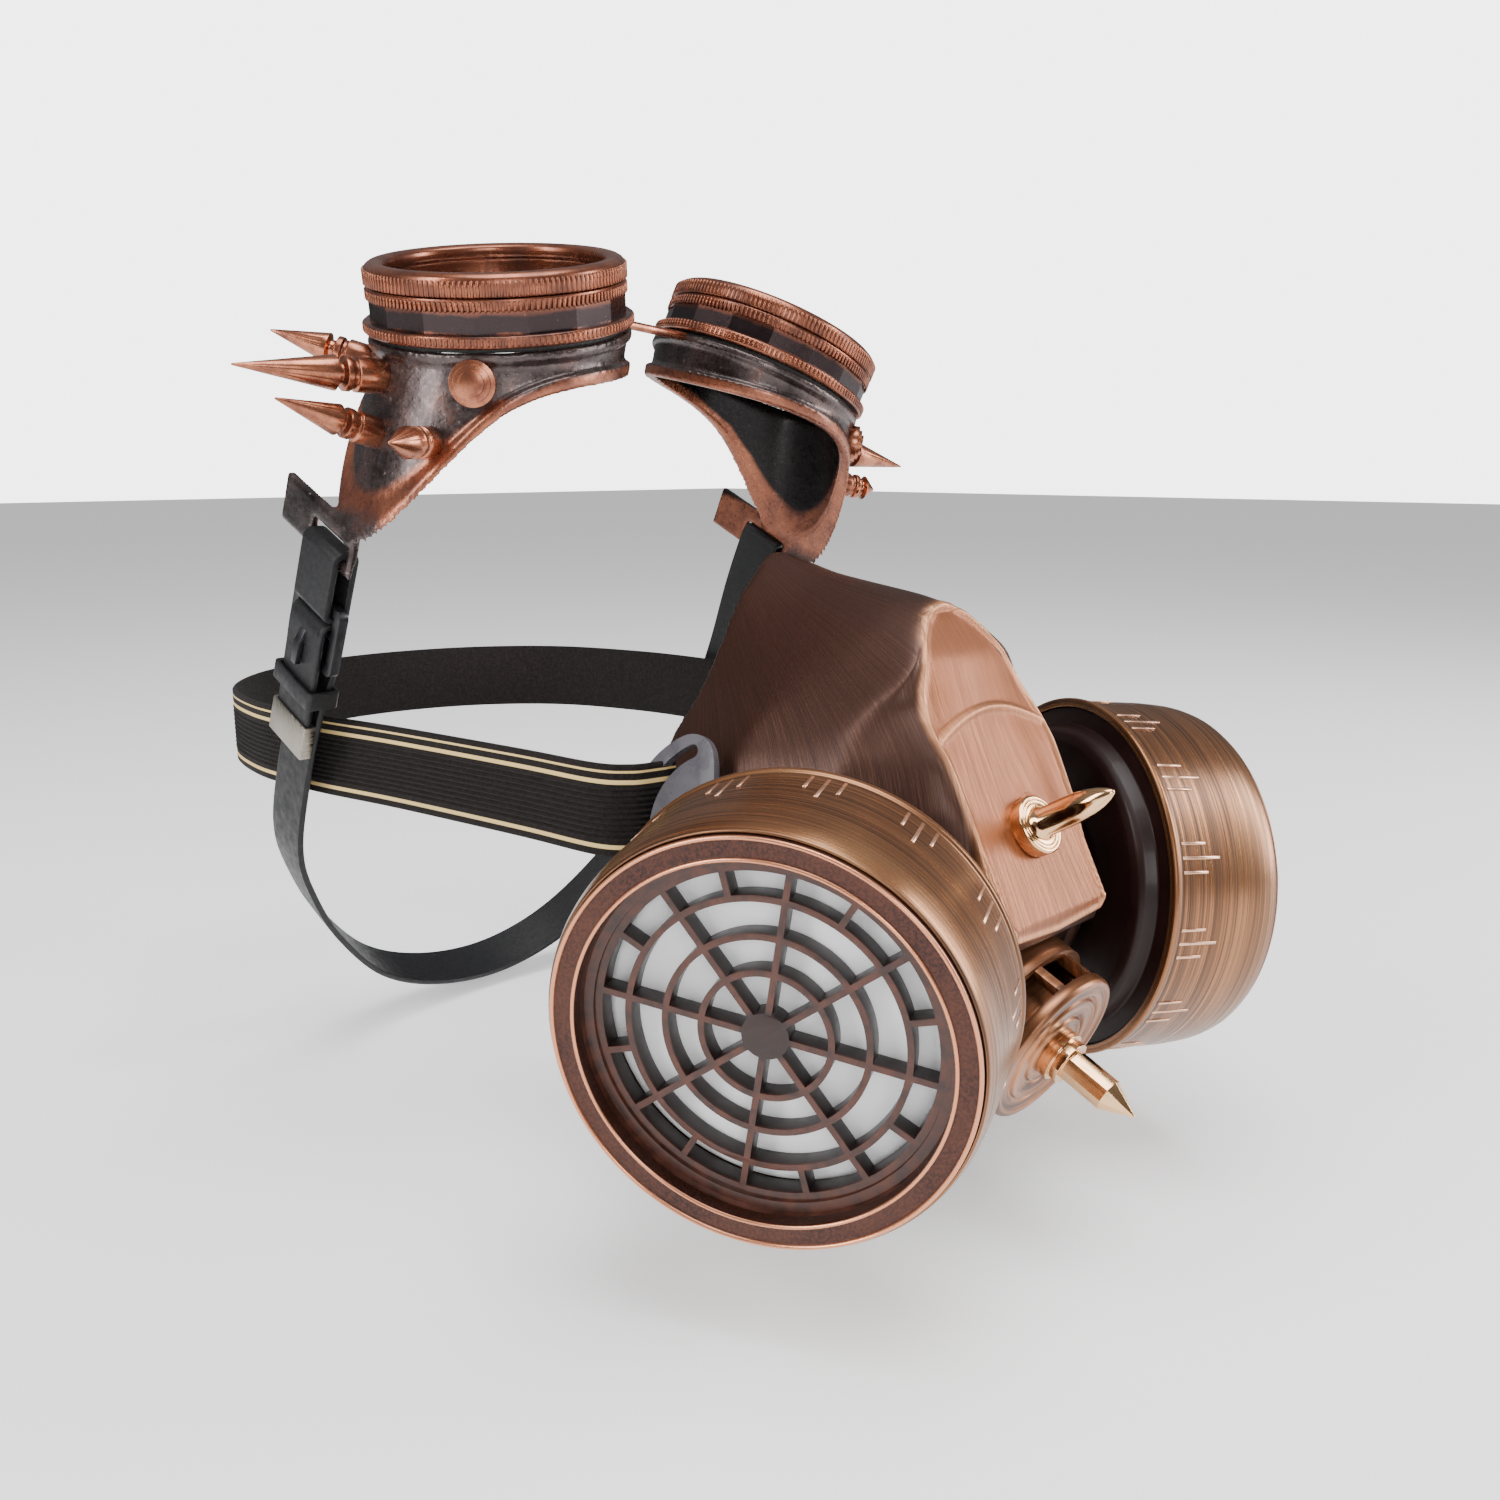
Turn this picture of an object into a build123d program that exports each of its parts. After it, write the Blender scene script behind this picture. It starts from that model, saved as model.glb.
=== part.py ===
from build123d import *
from math import cos, hypot, radians, sin
import os

# Steampunk respirator half mask with two filter canisters, worn with spiked goggles.
# Millimetres. The origin is the middle of the wearer's head, level with the elastic band.
# +X is the wearer's left, -Y the way the face looks, +Z up.

# ---------------------------------------------------------------- mask shell
WALL = 2.5
RIM_Y = -69.0            # back edge of the mask, against the face
PANEL_TOP = (-121.3, 44.4)       # (y, z) where the keystone panel starts on the nose
PANEL_BOW = (-129.2, 34.8)       # fullest point above the ridge
PANEL_RIDGE = (-134.8, 22.4)     # cross ridge
PANEL_LIP = (-156.2, -21.3)      # lower lip
PANEL_HALF_TOP = 7.5
PANEL_HALF_RIDGE = 20.6
PANEL_HALF_LIP = 19.2
LIP_DEPTH = 6.0

# Half outlines of the dome, seen from the front: y, top z, side points, bottom z.
DOME = (
    (RIM_Y, 56.4, ((10, 52), (29, 24), (42, 9), (50, -17), (49, -45), (34, -70)), -82),
    (-95, 49.9, ((11, 46), (28, 28.5), (42, 13.5), (50, -10), (49.5, -38), (32, -70)), -82),
    (-121, 43.5, ((10, 40), (26, 26), (36, 12), (42, -8), (42, -32), (26, -64)), -76),
    (-135, 21.0, ((17, 19), (26, 8), (31, -8), (33, -22), (31, -42), (18, -62)), -68),
    (-147, -1.0, ((16, -3), (22, -12), (25, -22), (25, -34), (22, -46), (13, -56)), -60),
)

# ---------------------------------------------------------------- canisters
CAN_SPREAD = 52.1        # half distance between the canisters' rear centres
CAN_Y = -125.0
CAN_Z = -30.0
CAN_YAW = 64.3           # degrees outwards from straight ahead
CAN_PITCH = 4.6          # degrees downwards
CAN_REAR_R = 47.4
CAN_SHOULDER_R = 46.6
CAN_FRONT_R = 44.9
CAN_DEPTH = 33.0
CAN_WALL = 2.2
CAN_GAP = 8.0            # from the canister's rear edge back to the shell
CAN_ROOM = 1.6           # shell cut larger than the canister
RING_IN_R = 38.7
RING_T = 3.0
GRILLE_R = 35.0
GRILLE_DEPTH = 5.5       # grille face below the ring
BLADE_T = 1.4
BLADE_DEEP = 4.5
HUB_R = 5.0
SPOKES = 8
SPOKE_START = 35.8       # degrees, full spokes
SHORT_START = 13.3       # degrees, short spokes between them
WEB_RINGS = (13.6, 21.3, 29.3)
GRILLE_RIM = 6.2         # width of the grille's rim behind the ring
GRILLE_STEP = 1.6
NECK_R = 16.0
NECK_BORE = NECK_R - 3.5
NECK_CLEAR = 0.05
FLANGE_R = NECK_R + 5.0
FLANGE_T = 2.0
LIP_R = NECK_R + 1.6
PAD_T = 5.0

# ---------------------------------------------------------------- front spike and vent
SPIKE_Y, SPIKE_Z = -147.1, -2.8
SPIKE_TILT = 31.0
WASHER_R = 7.0
WASHER_T = 3.5
BULLET_R = 3.4
BULLET_LEN = 20.5
SHANK_R = 1.9
NUT_R = 4.6
NUT_T = 3.0
VENT_Y, VENT_Z = -156.1, -54.0
VENT_TILT = -24.0
VENT_R = 21.0
VENT_WALL = 2.2
VENT_TUBE = 10.0
VENT_GAP = 7.0
DISC_R = 20.0
DISC_T = 3.0
CORE_R = 13.0
VENT_RIBS = 10
COLLAR_R = 6.3
COLLAR_T = 5.0
PENCIL_R = 4.0
PENCIL_LEN = 18.0
VALVE_R = 16.5
VALVE_T = 1.0
VENT_HOLE_R = 11.0

# ---------------------------------------------------------------- head band
BAND_W = 22.0
BAND_T = 1.6
TAB_T = 2.2
TAB_FRONT = 14.0         # straight edges of a tab: forwards, backwards and down from its middle
TAB_REAR = -8.4
TAB_LOW = -13.0
TAB_ARCH = ((-8.4, 1.0), (-7.0, 4.6), (-4.6, 7.9), (-1.2, 11.0), (3.4, 13.2), (8.2, 12.2), (11.4, 7.8),
            (13.4, 0))
TAB_SLOT = ((-4.1, -9.5), (-2.2, 2.4), (4.4, 9.2))      # arc along the middle of the slot
SLOT_W = 3.2
FOOT_R = 3.0
FOOT_DEEP = 14.0
FEET = ((9.0, -2.0), (8.0, -9.5))
# Centre line of the band in plan, from the wearer's right tab round the head to the left one.
BAND_PATH = ((-49, -81), (-54.5, -80.2), (-60, -78), (-64.5, -70), (-67, -45), (-73, 0), (-79, 35), (-80, 65),
             (-71, 95), (-46, 118), (-10, 126), (26, 118), (53, 96), (66, 64), (70, 32), (69, -8),
             (66.5, -45), (64.5, -70), (60, -78), (54.5, -80.2), (49, -81))

# ---------------------------------------------------------------- goggles
GOG_AT = (0, -16.0, 107.9)
GOG_PITCH = 10.3
GOG_ROLL = 5.2
CUP_SPREAD = 46.7        # half distance between the cups
CUP_SPLAY = 15.8         # degrees each cup leans outwards
RING_R = 33.4            # knurled lower flange
COLLAR_BAND_R = 31.5     # smooth band
BEZEL_R = 32.1
BEZEL_OPEN_R = 27.0
FLANGE_H = 3.0
SEAM_H = 11.1
STACK_H = 16.6
GASKET_T = 1.0
LOWER_RING_T = 2.4
LENS_T = 2.0
LENS_R = 29.3
THREAD_R = 29.5          # bore of the collar, and the bezel's skirt in it
SKIRT_R = 28.2
CUP_WALL = 1.8
CUP_R = 31.6
CUP_FOOT_R = 33.0
CUP_DEEP = 66.0
FOOT_OUT = 1.3
THREAD_CLEAR = 0.05
BEAD = 1.8
# Underside of a cup, across the forehead: distance from the middle, depth below the ring.
BROW = ((8, -5.2), (26, -6.4), (38, -8.6), (50, -12.0), (62, -19.2), (68, -27.0), (74, -38.4), (79, -50.0),
        (84, -63.0))
# Side spikes: degrees round from the outer side, depth, tilt, length, base radius.
SPIKES = {
    "right": ((6, -17, -4, 34, 4.2), (1, -30, 11, 26, 3.8), (-31, -29, 0, 19, 3.8), (44, -14.5, 6, 25, 3.8)),
    "left": ((-12, -17, -4, 31, 4.2), (-26, -27, 0, 14, 3.8), (26, -15.5, 6, 25, 3.8)),
}
BOSS_R = 5.4
BOSS_H = 3.6
BOSS_TURN = 47.0         # degrees from the outer side towards the front
BOSS_Z = -13.7

# ---------------------------------------------------------------- goggle strap
STRAP_AT = (0, 32.0, 1.0)        # where it crosses the elastic band
STRAP_LEAN = 24.8
STRAP_W = 16.0
STRAP_T = 1.8
LUG_T = 2.2
LUG_BAR = 3.5
LUG_SLOT = 4.5
LUG_FRONT = -24.0        # across the strap, ahead of its middle
# Each cup's strap lug: outer face, and the height of its bar's lower edge, in the strap's plane.
LUG = {"right": (-86.2, 59.0), "left": (76.3, 52.0)}
BUCKLE_U = -86.4         # outer face of the buckle
BUCKLE_V = 30.5          # lower edge of the buckle
BUCKLE_W = 23.0
BUCKLE_L = 19.0
BUCKLE_T = 2.6
BUCKLE_BAR = 2.5
BAR_V = 40.8
BAR_R = 1.0
PRONG_W = 2.4
PRONG_CLEAR = 0.06
KEEPER_V = 20.0
KEEPER_L = 5.0
CLIP_V = 4.0
CLIP_L = 10.0
CLIP_T = 0.8
# Centre line in the strap's own plane: the tail, over the buckle's bar, down and round the nape, up to
# the left lug and round its bar.
STRAP_PATH = ((-87.4, 8), (-87.6, 20), (-87.8, 32), (-87.9, 41), (-86.6, 43.5), (-83.8, 43.5), (-82.4, 41),
              (-82.5, 30), (-84.2, 16), (-84.4, -10), (-82.6, -30), (-76.5, -46), (-64, -67), (-44, -89),
              (-20, -101), (6, -104), (30, -96), (50, -77), (66, -50), (72.6, -30), (74.6, -8), (74.6, 14),
              (72.7, 38), (72.6, 56), (73.9, 58.7), (76.7, 58.7), (77.9, 56), (78, 40))

os.makedirs("parts", exist_ok=True)
SIDES = ((-1, "right"), (1, "left"))


def save(part, name):
    part.label = name
    export_step(part, "parts/" + name + ".step")


def canister_plane(side, h=0.0):
    yaw = radians(CAN_YAW)
    pitch = radians(CAN_PITCH)
    way = Vector(side * sin(yaw) * cos(pitch), -cos(yaw) * cos(pitch), -sin(pitch))
    rear = Vector(side * CAN_SPREAD, CAN_Y, CAN_Z)
    return Plane(origin=rear + way * h, x_dir=(cos(yaw), side * sin(yaw), 0), z_dir=way)


def front_plane(y, z, tilt, h=0.0):
    """Plane square to a line that leaves the mask's middle at a tilt above straight ahead."""
    way = Vector(0, -cos(radians(tilt)), sin(radians(tilt)))
    return Plane(origin=Vector(0, y, z) + way * h, x_dir=(1, 0, 0), z_dir=way)


def goggle_plane():
    up = Vector(0, 0, 1).rotate(Axis.X, GOG_PITCH).rotate(Axis.Y, GOG_ROLL)
    right = Vector(1, 0, 0).rotate(Axis.Y, GOG_ROLL)
    return Plane(origin=GOG_AT, x_dir=right, z_dir=up)


def cup_plane(side, h=0.0):
    return Plane(goggle_plane().location * Location((side * CUP_SPREAD, 0, 0), (0, side * CUP_SPLAY, 0))
                 * Location((0, 0, h)))


def strap_plane():
    lean = radians(STRAP_LEAN)
    return Plane(origin=STRAP_AT, x_dir=(1, 0, 0), z_dir=(0, -cos(lean), -sin(lean)))


def ring_of(points):
    """Closed smooth outline from half an outline: top, right side, bottom, then mirrored."""
    top, side, bottom = points
    right = list(side)
    left = [(-x, z) for x, z in reversed(right)]
    return [(0, top)] + right + [(0, bottom)] + left


def inset(points, wall):
    """The same outline, each point moved in towards the middle by the wall."""
    mid = sum(z for _, z in points) / len(points)
    moved = []
    for x, z in points:
        far = hypot(x, z - mid)
        moved.append((x - wall * x / far, z - wall * (z - mid) / far))
    return moved


def band_outline(path, thick):
    """Both long sides of a thin band that follows a path, outer side first."""
    outer = []
    inner = []
    for i, (x, y) in enumerate(path):
        x0, y0 = path[max(i - 1, 0)]
        x1, y1 = path[min(i + 1, len(path) - 1)]
        run = hypot(x1 - x0, y1 - y0)
        nx, ny = (y1 - y0) / run, -(x1 - x0) / run
        outer.append((x - nx * thick / 2, y - ny * thick / 2))
        inner.append((x + nx * thick / 2, y + ny * thick / 2))
    return outer, inner


# ================================================================ mask shell
# The dome is lofted through five outlines. A flat is cut for each canister and one for the vent.
def dome(grow, back):
    with BuildPart(mode=Mode.PRIVATE) as body:
        for i, (y, top, side, bottom) in enumerate(DOME):
            outline = ring_of((top, side, bottom))
            if grow:
                outline = inset(outline, grow)
            at = y + (back if i == 0 else grow)
            with BuildSketch(Plane.XZ.offset(-at)):
                with BuildLine():
                    Spline(*outline, periodic=True)
                make_face()
        loft(ruled=True)
        with BuildSketch(front_plane(VENT_Y, VENT_Z, VENT_TILT, -VENT_GAP - DISC_T - VENT_TUBE - grow)):
            Circle(2.2 * VENT_R)
        extrude(amount=2 * VENT_R, mode=Mode.SUBTRACT)
    return body.part


def nose_block(grow):
    """The keystone panel as a block: its side outline, cut to the keystone seen from the front."""
    top = PANEL_HALF_TOP - grow / 2
    ridge = PANEL_HALF_RIDGE - grow
    lip = PANEL_HALF_LIP - grow
    with BuildPart(mode=Mode.PRIVATE) as body:
        with BuildSketch(Plane.YZ):
            with BuildLine():
                Polyline((PANEL_TOP[0] + 12, PANEL_TOP[1] - grow), (PANEL_TOP[0] + grow, PANEL_TOP[1] - grow),
                         (PANEL_BOW[0] + grow, PANEL_BOW[1] - grow),
                         (PANEL_RIDGE[0] + grow, PANEL_RIDGE[1] - grow),
                         (PANEL_LIP[0] + grow, PANEL_LIP[1]),
                         (PANEL_LIP[0] + 2 + grow, PANEL_LIP[1] - LIP_DEPTH + grow),
                         (PANEL_LIP[0] + 40, PANEL_LIP[1] - LIP_DEPTH + grow), close=True)
            make_face()
        extrude(amount=2 * PANEL_HALF_RIDGE, both=True)
        with BuildSketch(Plane.XZ.offset(100)):
            with BuildLine():
                Polyline((top, PANEL_TOP[1] + 3), (ridge, PANEL_RIDGE[1]), (lip, PANEL_LIP[1] - 10),
                         (-lip, PANEL_LIP[1] - 10), (-ridge, PANEL_RIDGE[1]), (-top, PANEL_TOP[1] + 3),
                         close=True)
            make_face()
        extrude(amount=80, mode=Mode.INTERSECT)
    return body.part


def shell_form(grow):
    """Outer form of the shell, or its hollow when it is grown inwards by the wall."""
    with BuildPart(mode=Mode.PRIVATE) as body:
        add(dome(grow, 3 * grow))
        add(nose_block(grow))
        for side, _ in SIDES:
            with BuildSketch(canister_plane(side, -CAN_GAP - grow)):
                Circle(CAN_REAR_R + CAN_ROOM + grow)
            extrude(amount=80, mode=Mode.SUBTRACT)
    return body.part


outer_form = shell_form(0)
with BuildPart() as mask_shell:
    add(outer_form)
    add(shell_form(WALL), mode=Mode.SUBTRACT)
    for side, _ in SIDES:
        with BuildSketch(canister_plane(side, -CAN_GAP - PAD_T)):
            Circle(FLANGE_R + 1)
        extrude(amount=-2 * PAD_T, mode=Mode.SUBTRACT)
        with BuildSketch(canister_plane(side, -CAN_GAP - PAD_T)):
            Circle(FLANGE_R + 3)
        extrude(amount=PAD_T)
        with BuildSketch(canister_plane(side, -CAN_GAP - 3 * PAD_T)):
            Circle(NECK_R)
        extrude(amount=4 * PAD_T, mode=Mode.SUBTRACT)
    with BuildSketch(front_plane(VENT_Y, VENT_Z, VENT_TILT, -40)):
        Circle(VENT_HOLE_R)
    extrude(amount=25, mode=Mode.SUBTRACT)
    with BuildSketch(front_plane(SPIKE_Y, SPIKE_Z, SPIKE_TILT, -12)):
        Circle(SHANK_R)
    extrude(amount=24, mode=Mode.SUBTRACT)
    with BuildSketch(front_plane(SPIKE_Y, SPIKE_Z, SPIKE_TILT)):
        Circle(WASHER_R)
    extrude(amount=WASHER_T, mode=Mode.SUBTRACT)

# ================================================================ front spike
# A bullet-shaped screw stud through a round washer, held by a nut inside the mask.
spike_seat = front_plane(SPIKE_Y, SPIKE_Z, SPIKE_TILT)
with BuildPart() as front_washer:
    with BuildSketch(front_plane(SPIKE_Y, SPIKE_Z, SPIKE_TILT)):
        Circle(WASHER_R)
        Circle(SHANK_R, mode=Mode.SUBTRACT)
    extrude(amount=WASHER_T)
    chamfer(front_washer.edges().filter_by(GeomType.CIRCLE).sort_by(SortBy.RADIUS)[-2:], 0.4)
save(front_washer.part, "front_spike_washer")

with BuildPart() as front_spike:
    with BuildSketch(Plane(spike_seat.location * Location((0, 0, 0), (90, 0, 0)))):
        with BuildLine():
            Polyline((0, -9), (SHANK_R, -9), (SHANK_R, WASHER_T), (BULLET_R + 0.8, WASHER_T),
                     (BULLET_R, WASHER_T + 1.5), (BULLET_R, WASHER_T + 0.45 * BULLET_LEN))
            Spline((BULLET_R, WASHER_T + 0.45 * BULLET_LEN), (0.72 * BULLET_R, WASHER_T + 0.75 * BULLET_LEN),
                   (0.3, WASHER_T + BULLET_LEN), tangents=((0, 1), (-0.45, 1)))
            Polyline((0.3, WASHER_T + BULLET_LEN), (0, WASHER_T + BULLET_LEN), (0, -9))
        make_face()
    revolve(axis=Axis(spike_seat.origin, spike_seat.z_dir))
save(front_spike.part, "front_spike")

with BuildPart() as front_nut:
    with BuildSketch(front_plane(SPIKE_Y, SPIKE_Z, SPIKE_TILT, -WALL - 1.0 - NUT_T)):
        RegularPolygon(NUT_R, 6)
        Circle(SHANK_R, mode=Mode.SUBTRACT)
    extrude(amount=NUT_T)
save(front_nut.part, "front_spike_nut")

# ================================================================ vent
# A short tube under the lip, with ribs that carry a grooved disc in front of it.
with BuildPart() as vent_housing:
    with BuildSketch(front_plane(VENT_Y, VENT_Z, VENT_TILT, -VENT_GAP - DISC_T - VENT_TUBE)):
        Circle(VENT_R)
        Circle(VENT_R - VENT_WALL, mode=Mode.SUBTRACT)
    extrude(amount=VENT_TUBE)
    with BuildSketch(front_plane(VENT_Y, VENT_Z, VENT_TILT, -VENT_GAP - DISC_T - 2)):
        with PolarLocations(DISC_R - 1.6, VENT_RIBS):
            Rectangle(2.6, 2.2)
    extrude(amount=VENT_GAP + 2)
    add(outer_form, mode=Mode.SUBTRACT)
save(vent_housing.part, "vent_housing")

with BuildPart() as vent_disc:
    with BuildSketch(front_plane(VENT_Y, VENT_Z, VENT_TILT, -DISC_T)):
        Circle(DISC_R)
    extrude(amount=DISC_T)
    for groove in (0.74 * DISC_R, 0.48 * DISC_R):
        with BuildSketch(front_plane(VENT_Y, VENT_Z, VENT_TILT, -0.7)):
            Circle(groove + 0.7)
            Circle(groove - 0.7, mode=Mode.SUBTRACT)
        extrude(amount=1, mode=Mode.SUBTRACT)
    with BuildSketch(front_plane(VENT_Y, VENT_Z, VENT_TILT, -VENT_GAP - DISC_T - VENT_TUBE + 2 * VALVE_T)):
        Circle(CORE_R)
    extrude(amount=VENT_GAP + VENT_TUBE - 2 * VALVE_T)
    with BuildSketch(front_plane(VENT_Y, VENT_Z, VENT_TILT, -14)):
        Circle(SHANK_R)
    extrude(amount=15, mode=Mode.SUBTRACT)
save(vent_disc.part, "vent_disc")

with BuildPart() as vent_valve:
    with BuildSketch(front_plane(VENT_Y, VENT_Z, VENT_TILT, -VENT_GAP - DISC_T - VENT_TUBE)):
        Circle(VALVE_R)
    extrude(amount=VALVE_T)
save(vent_valve.part, "vent_valve_flap")

with BuildPart() as vent_spike:
    with BuildSketch(front_plane(VENT_Y, VENT_Z, VENT_TILT, -10)):
        Circle(SHANK_R)
    extrude(amount=10 + COLLAR_T)
    with BuildSketch(front_plane(VENT_Y, VENT_Z, VENT_TILT)):
        Circle(COLLAR_R)
    extrude(amount=0.55 * COLLAR_T)
    with BuildSketch(front_plane(VENT_Y, VENT_Z, VENT_TILT)):
        Circle(0.86 * COLLAR_R)
    extrude(amount=COLLAR_T)
    with BuildSketch(front_plane(VENT_Y, VENT_Z, VENT_TILT, COLLAR_T)):
        RegularPolygon(PENCIL_R, 8)
    extrude(amount=0.6 * PENCIL_LEN)
    with BuildSketch(front_plane(VENT_Y, VENT_Z, VENT_TILT, COLLAR_T + 0.6 * PENCIL_LEN)):
        RegularPolygon(PENCIL_R, 8)
    with BuildSketch(front_plane(VENT_Y, VENT_Z, VENT_TILT, COLLAR_T + PENCIL_LEN)):
        RegularPolygon(0.25, 8)
    loft()
save(vent_spike.part, "vent_spike")


# ================================================================ canisters
def canister_turned(side, points):
    """A turned piece on a canister's axis, from its outline as (radius, height)."""
    base = canister_plane(side)
    with BuildPart(mode=Mode.PRIVATE) as turned:
        with BuildSketch(Plane(base.location * Location((0, 0, 0), (90, 0, 0)))):
            with BuildLine():
                Polyline(*points, close=True)
            make_face()
        revolve(axis=Axis(base.origin, base.z_dir))
    return turned.part


RING_Z = CAN_DEPTH - RING_T
FACE_Z = CAN_DEPTH - GRILLE_DEPTH
PAD_Z = FACE_Z - BLADE_DEEP
PAD_R = GRILLE_R + 1.5
MOUTH_R = CAN_FRONT_R - 0.6
for side, word in SIDES:
    # Neck: a threaded spigot through the shell, with a flange outside and a lip inside the canister.
    with BuildPart() as neck:
        add(canister_turned(side, (
            (NECK_BORE, -CAN_GAP - PAD_T - 8), (NECK_R, -CAN_GAP - PAD_T - 8), (NECK_R, -CAN_GAP),
            (FLANGE_R, -CAN_GAP), (FLANGE_R, -CAN_GAP + FLANGE_T), (NECK_R, -CAN_GAP + FLANGE_T),
            (NECK_R, 1.5),
            (LIP_R, 1.5), (LIP_R, 3.5), (NECK_BORE, 3.5))))
    save(neck.part, "canister_neck_" + word)

    with BuildPart() as nut:
        add(canister_turned(side, (
            (NECK_R, -CAN_GAP - PAD_T - 4), (FLANGE_R, -CAN_GAP - PAD_T - 4), (FLANGE_R, -CAN_GAP - PAD_T),
            (NECK_R, -CAN_GAP - PAD_T))))
    save(nut.part, "neck_nut_" + word)

    # Back plate: a stepped dish that closes the canister and turns on the neck.
    with BuildPart() as back:
        add(canister_turned(side, (
            (NECK_R + NECK_CLEAR, -4.8), (36.5, -4.8), (39.5, -3.2), (41.0, 0.6),
            (CAN_REAR_R - CAN_WALL, 0.6),
            (CAN_REAR_R - CAN_WALL, 2.6), (38.5, 2.6), (36.5, -2.6), (NECK_R + 4.0, -2.6), (NECK_R + 4.0, 0.8),
            (NECK_R + NECK_CLEAR, 0.8))))
    save(back.part, "back_plate_" + word)

    # Barrel: a tapered tube with a bead at the back edge and a rounded front shoulder.
    with BuildPart() as barrel:
        add(canister_turned(side, (
            (CAN_REAR_R - CAN_WALL, 0), (CAN_REAR_R, 0), (CAN_REAR_R, 1.6), (CAN_REAR_R - 0.5, 1.9),
            (CAN_SHOULDER_R, CAN_DEPTH - 12), (CAN_SHOULDER_R - 0.3, CAN_DEPTH - 7.5),
            (CAN_SHOULDER_R - 0.8, CAN_DEPTH - 3.4), (CAN_FRONT_R, CAN_DEPTH - 0.6),
            (MOUTH_R, CAN_DEPTH - 0.6), (MOUTH_R, RING_Z),
            (CAN_SHOULDER_R - CAN_WALL - 1.0, CAN_DEPTH - 7.5),
            (CAN_REAR_R - CAN_WALL, 2.6))))
    save(barrel.part, "canister_barrel_" + word)

    # Front ring: the flat face, which turns in the barrel's mouth with the grille.
    with BuildPart() as ring:
        add(canister_turned(side, (
            (RING_IN_R, RING_Z), (MOUTH_R - NECK_CLEAR, RING_Z), (MOUTH_R - NECK_CLEAR, CAN_DEPTH),
            (RING_IN_R, CAN_DEPTH))))
    save(ring.part, "front_ring_" + word)

    # Web grille: stepped funnel wall with deep blades, rings and a hub.
    with BuildPart() as grille:
        add(canister_turned(side, (
            (GRILLE_R, PAD_Z), (GRILLE_R + GRILLE_RIM, PAD_Z), (GRILLE_R + GRILLE_RIM, RING_Z),
            (RING_IN_R, RING_Z), (RING_IN_R, FACE_Z + 1.0), (GRILLE_R + GRILLE_STEP, FACE_Z + 1.0),
            (GRILLE_R + GRILLE_STEP, FACE_Z), (GRILLE_R, FACE_Z))))
        with BuildSketch(canister_plane(side, PAD_Z)):
            Circle(HUB_R)
            for r in WEB_RINGS:
                with BuildSketch(canister_plane(side, PAD_Z), mode=Mode.PRIVATE) as hoop:
                    Circle(r + BLADE_T / 2)
                    Circle(r - BLADE_T / 2, mode=Mode.SUBTRACT)
                add(hoop.sketch_local)
            with PolarLocations(GRILLE_R / 2, SPOKES, start_angle=SPOKE_START):
                Rectangle(GRILLE_R + 1, BLADE_T)
            with PolarLocations((GRILLE_R + WEB_RINGS[2]) / 2, SPOKES, start_angle=SHORT_START):
                Rectangle(GRILLE_R - WEB_RINGS[2] + 1, BLADE_T)
        extrude(amount=BLADE_DEEP)
    save(grille.part, "web_grille_" + word)

    with BuildPart() as pad:
        with BuildSketch(canister_plane(side, 6)):
            Circle(PAD_R)
        extrude(amount=PAD_Z - 6.3)
    save(pad.part, "filter_pad_" + word)


# ================================================================ head band and its tabs
def tab_plane(side, h=0.0):
    """Plane of a tab: x forwards along it, y up on the right tab and down on the left one."""
    way = Vector(side * 0.93, -0.10, 0.36).normalized()
    along = Vector(0, -1, 0)
    along = (along - way * along.dot(way)).normalized()
    return Plane(origin=Vector(side * 52.0, -84.0, 5.0) + way * h, x_dir=along, z_dir=way)


outer, inner = band_outline(BAND_PATH, BAND_T)
with BuildPart() as head_band:
    with BuildSketch(Plane.XY.offset(-BAND_W / 2)):
        with BuildLine():
            Spline(*outer)
            Line(outer[-1], inner[-1])
            Spline(*reversed(inner))
            Line(inner[0], outer[0])
        make_face()
    extrude(amount=BAND_W)
    add(outer_form, mode=Mode.SUBTRACT)

tabs = []
for side, word in SIDES:
    arch = [(u, -side * v) for u, v in TAB_ARCH]
    slot_path = ThreePointArc(*[(u, -side * v) for u, v in TAB_SLOT])
    with BuildPart() as tab:
        with BuildSketch(tab_plane(side)):
            with BuildLine():
                Spline(*arch)
                Polyline(arch[-1], (TAB_FRONT, -side * TAB_LOW), (TAB_REAR, -side * TAB_LOW), arch[0])
            make_face()
            SlotArc(slot_path, SLOT_W, mode=Mode.SUBTRACT)
        extrude(amount=TAB_T)
        with BuildSketch(tab_plane(side, -FOOT_DEEP)):
            with Locations(*[(u, -side * v) for u, v in FEET]):
                Circle(FOOT_R)
        extrude(amount=FOOT_DEEP)
        add(outer_form, mode=Mode.SUBTRACT)
    save(tab.part, "strap_tab_" + word)
    tabs.append(tab.part)

with BuildPart() as threaded_band:
    add(head_band.part)
    for solid in tabs:
        add(solid, mode=Mode.SUBTRACT)
save(threaded_band.part, "elastic_band")

save(mask_shell.part, "mask_shell")

# ================================================================ goggles
GASKET_Z = -GASKET_T
RING_LOW = -GASKET_T - LOWER_RING_T


def cup_turned(side, points):
    """A turned piece on a cup's axis, from its outline as (radius, height)."""
    base = cup_plane(side)
    with BuildPart(mode=Mode.PRIVATE) as turned:
        with BuildSketch(Plane(base.location * Location((0, 0, 0), (90, 0, 0)))):
            with BuildLine():
                Polyline(*points, close=True)
            make_face()
        revolve(axis=Axis(base.origin, base.z_dir))
    return turned.part


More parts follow.
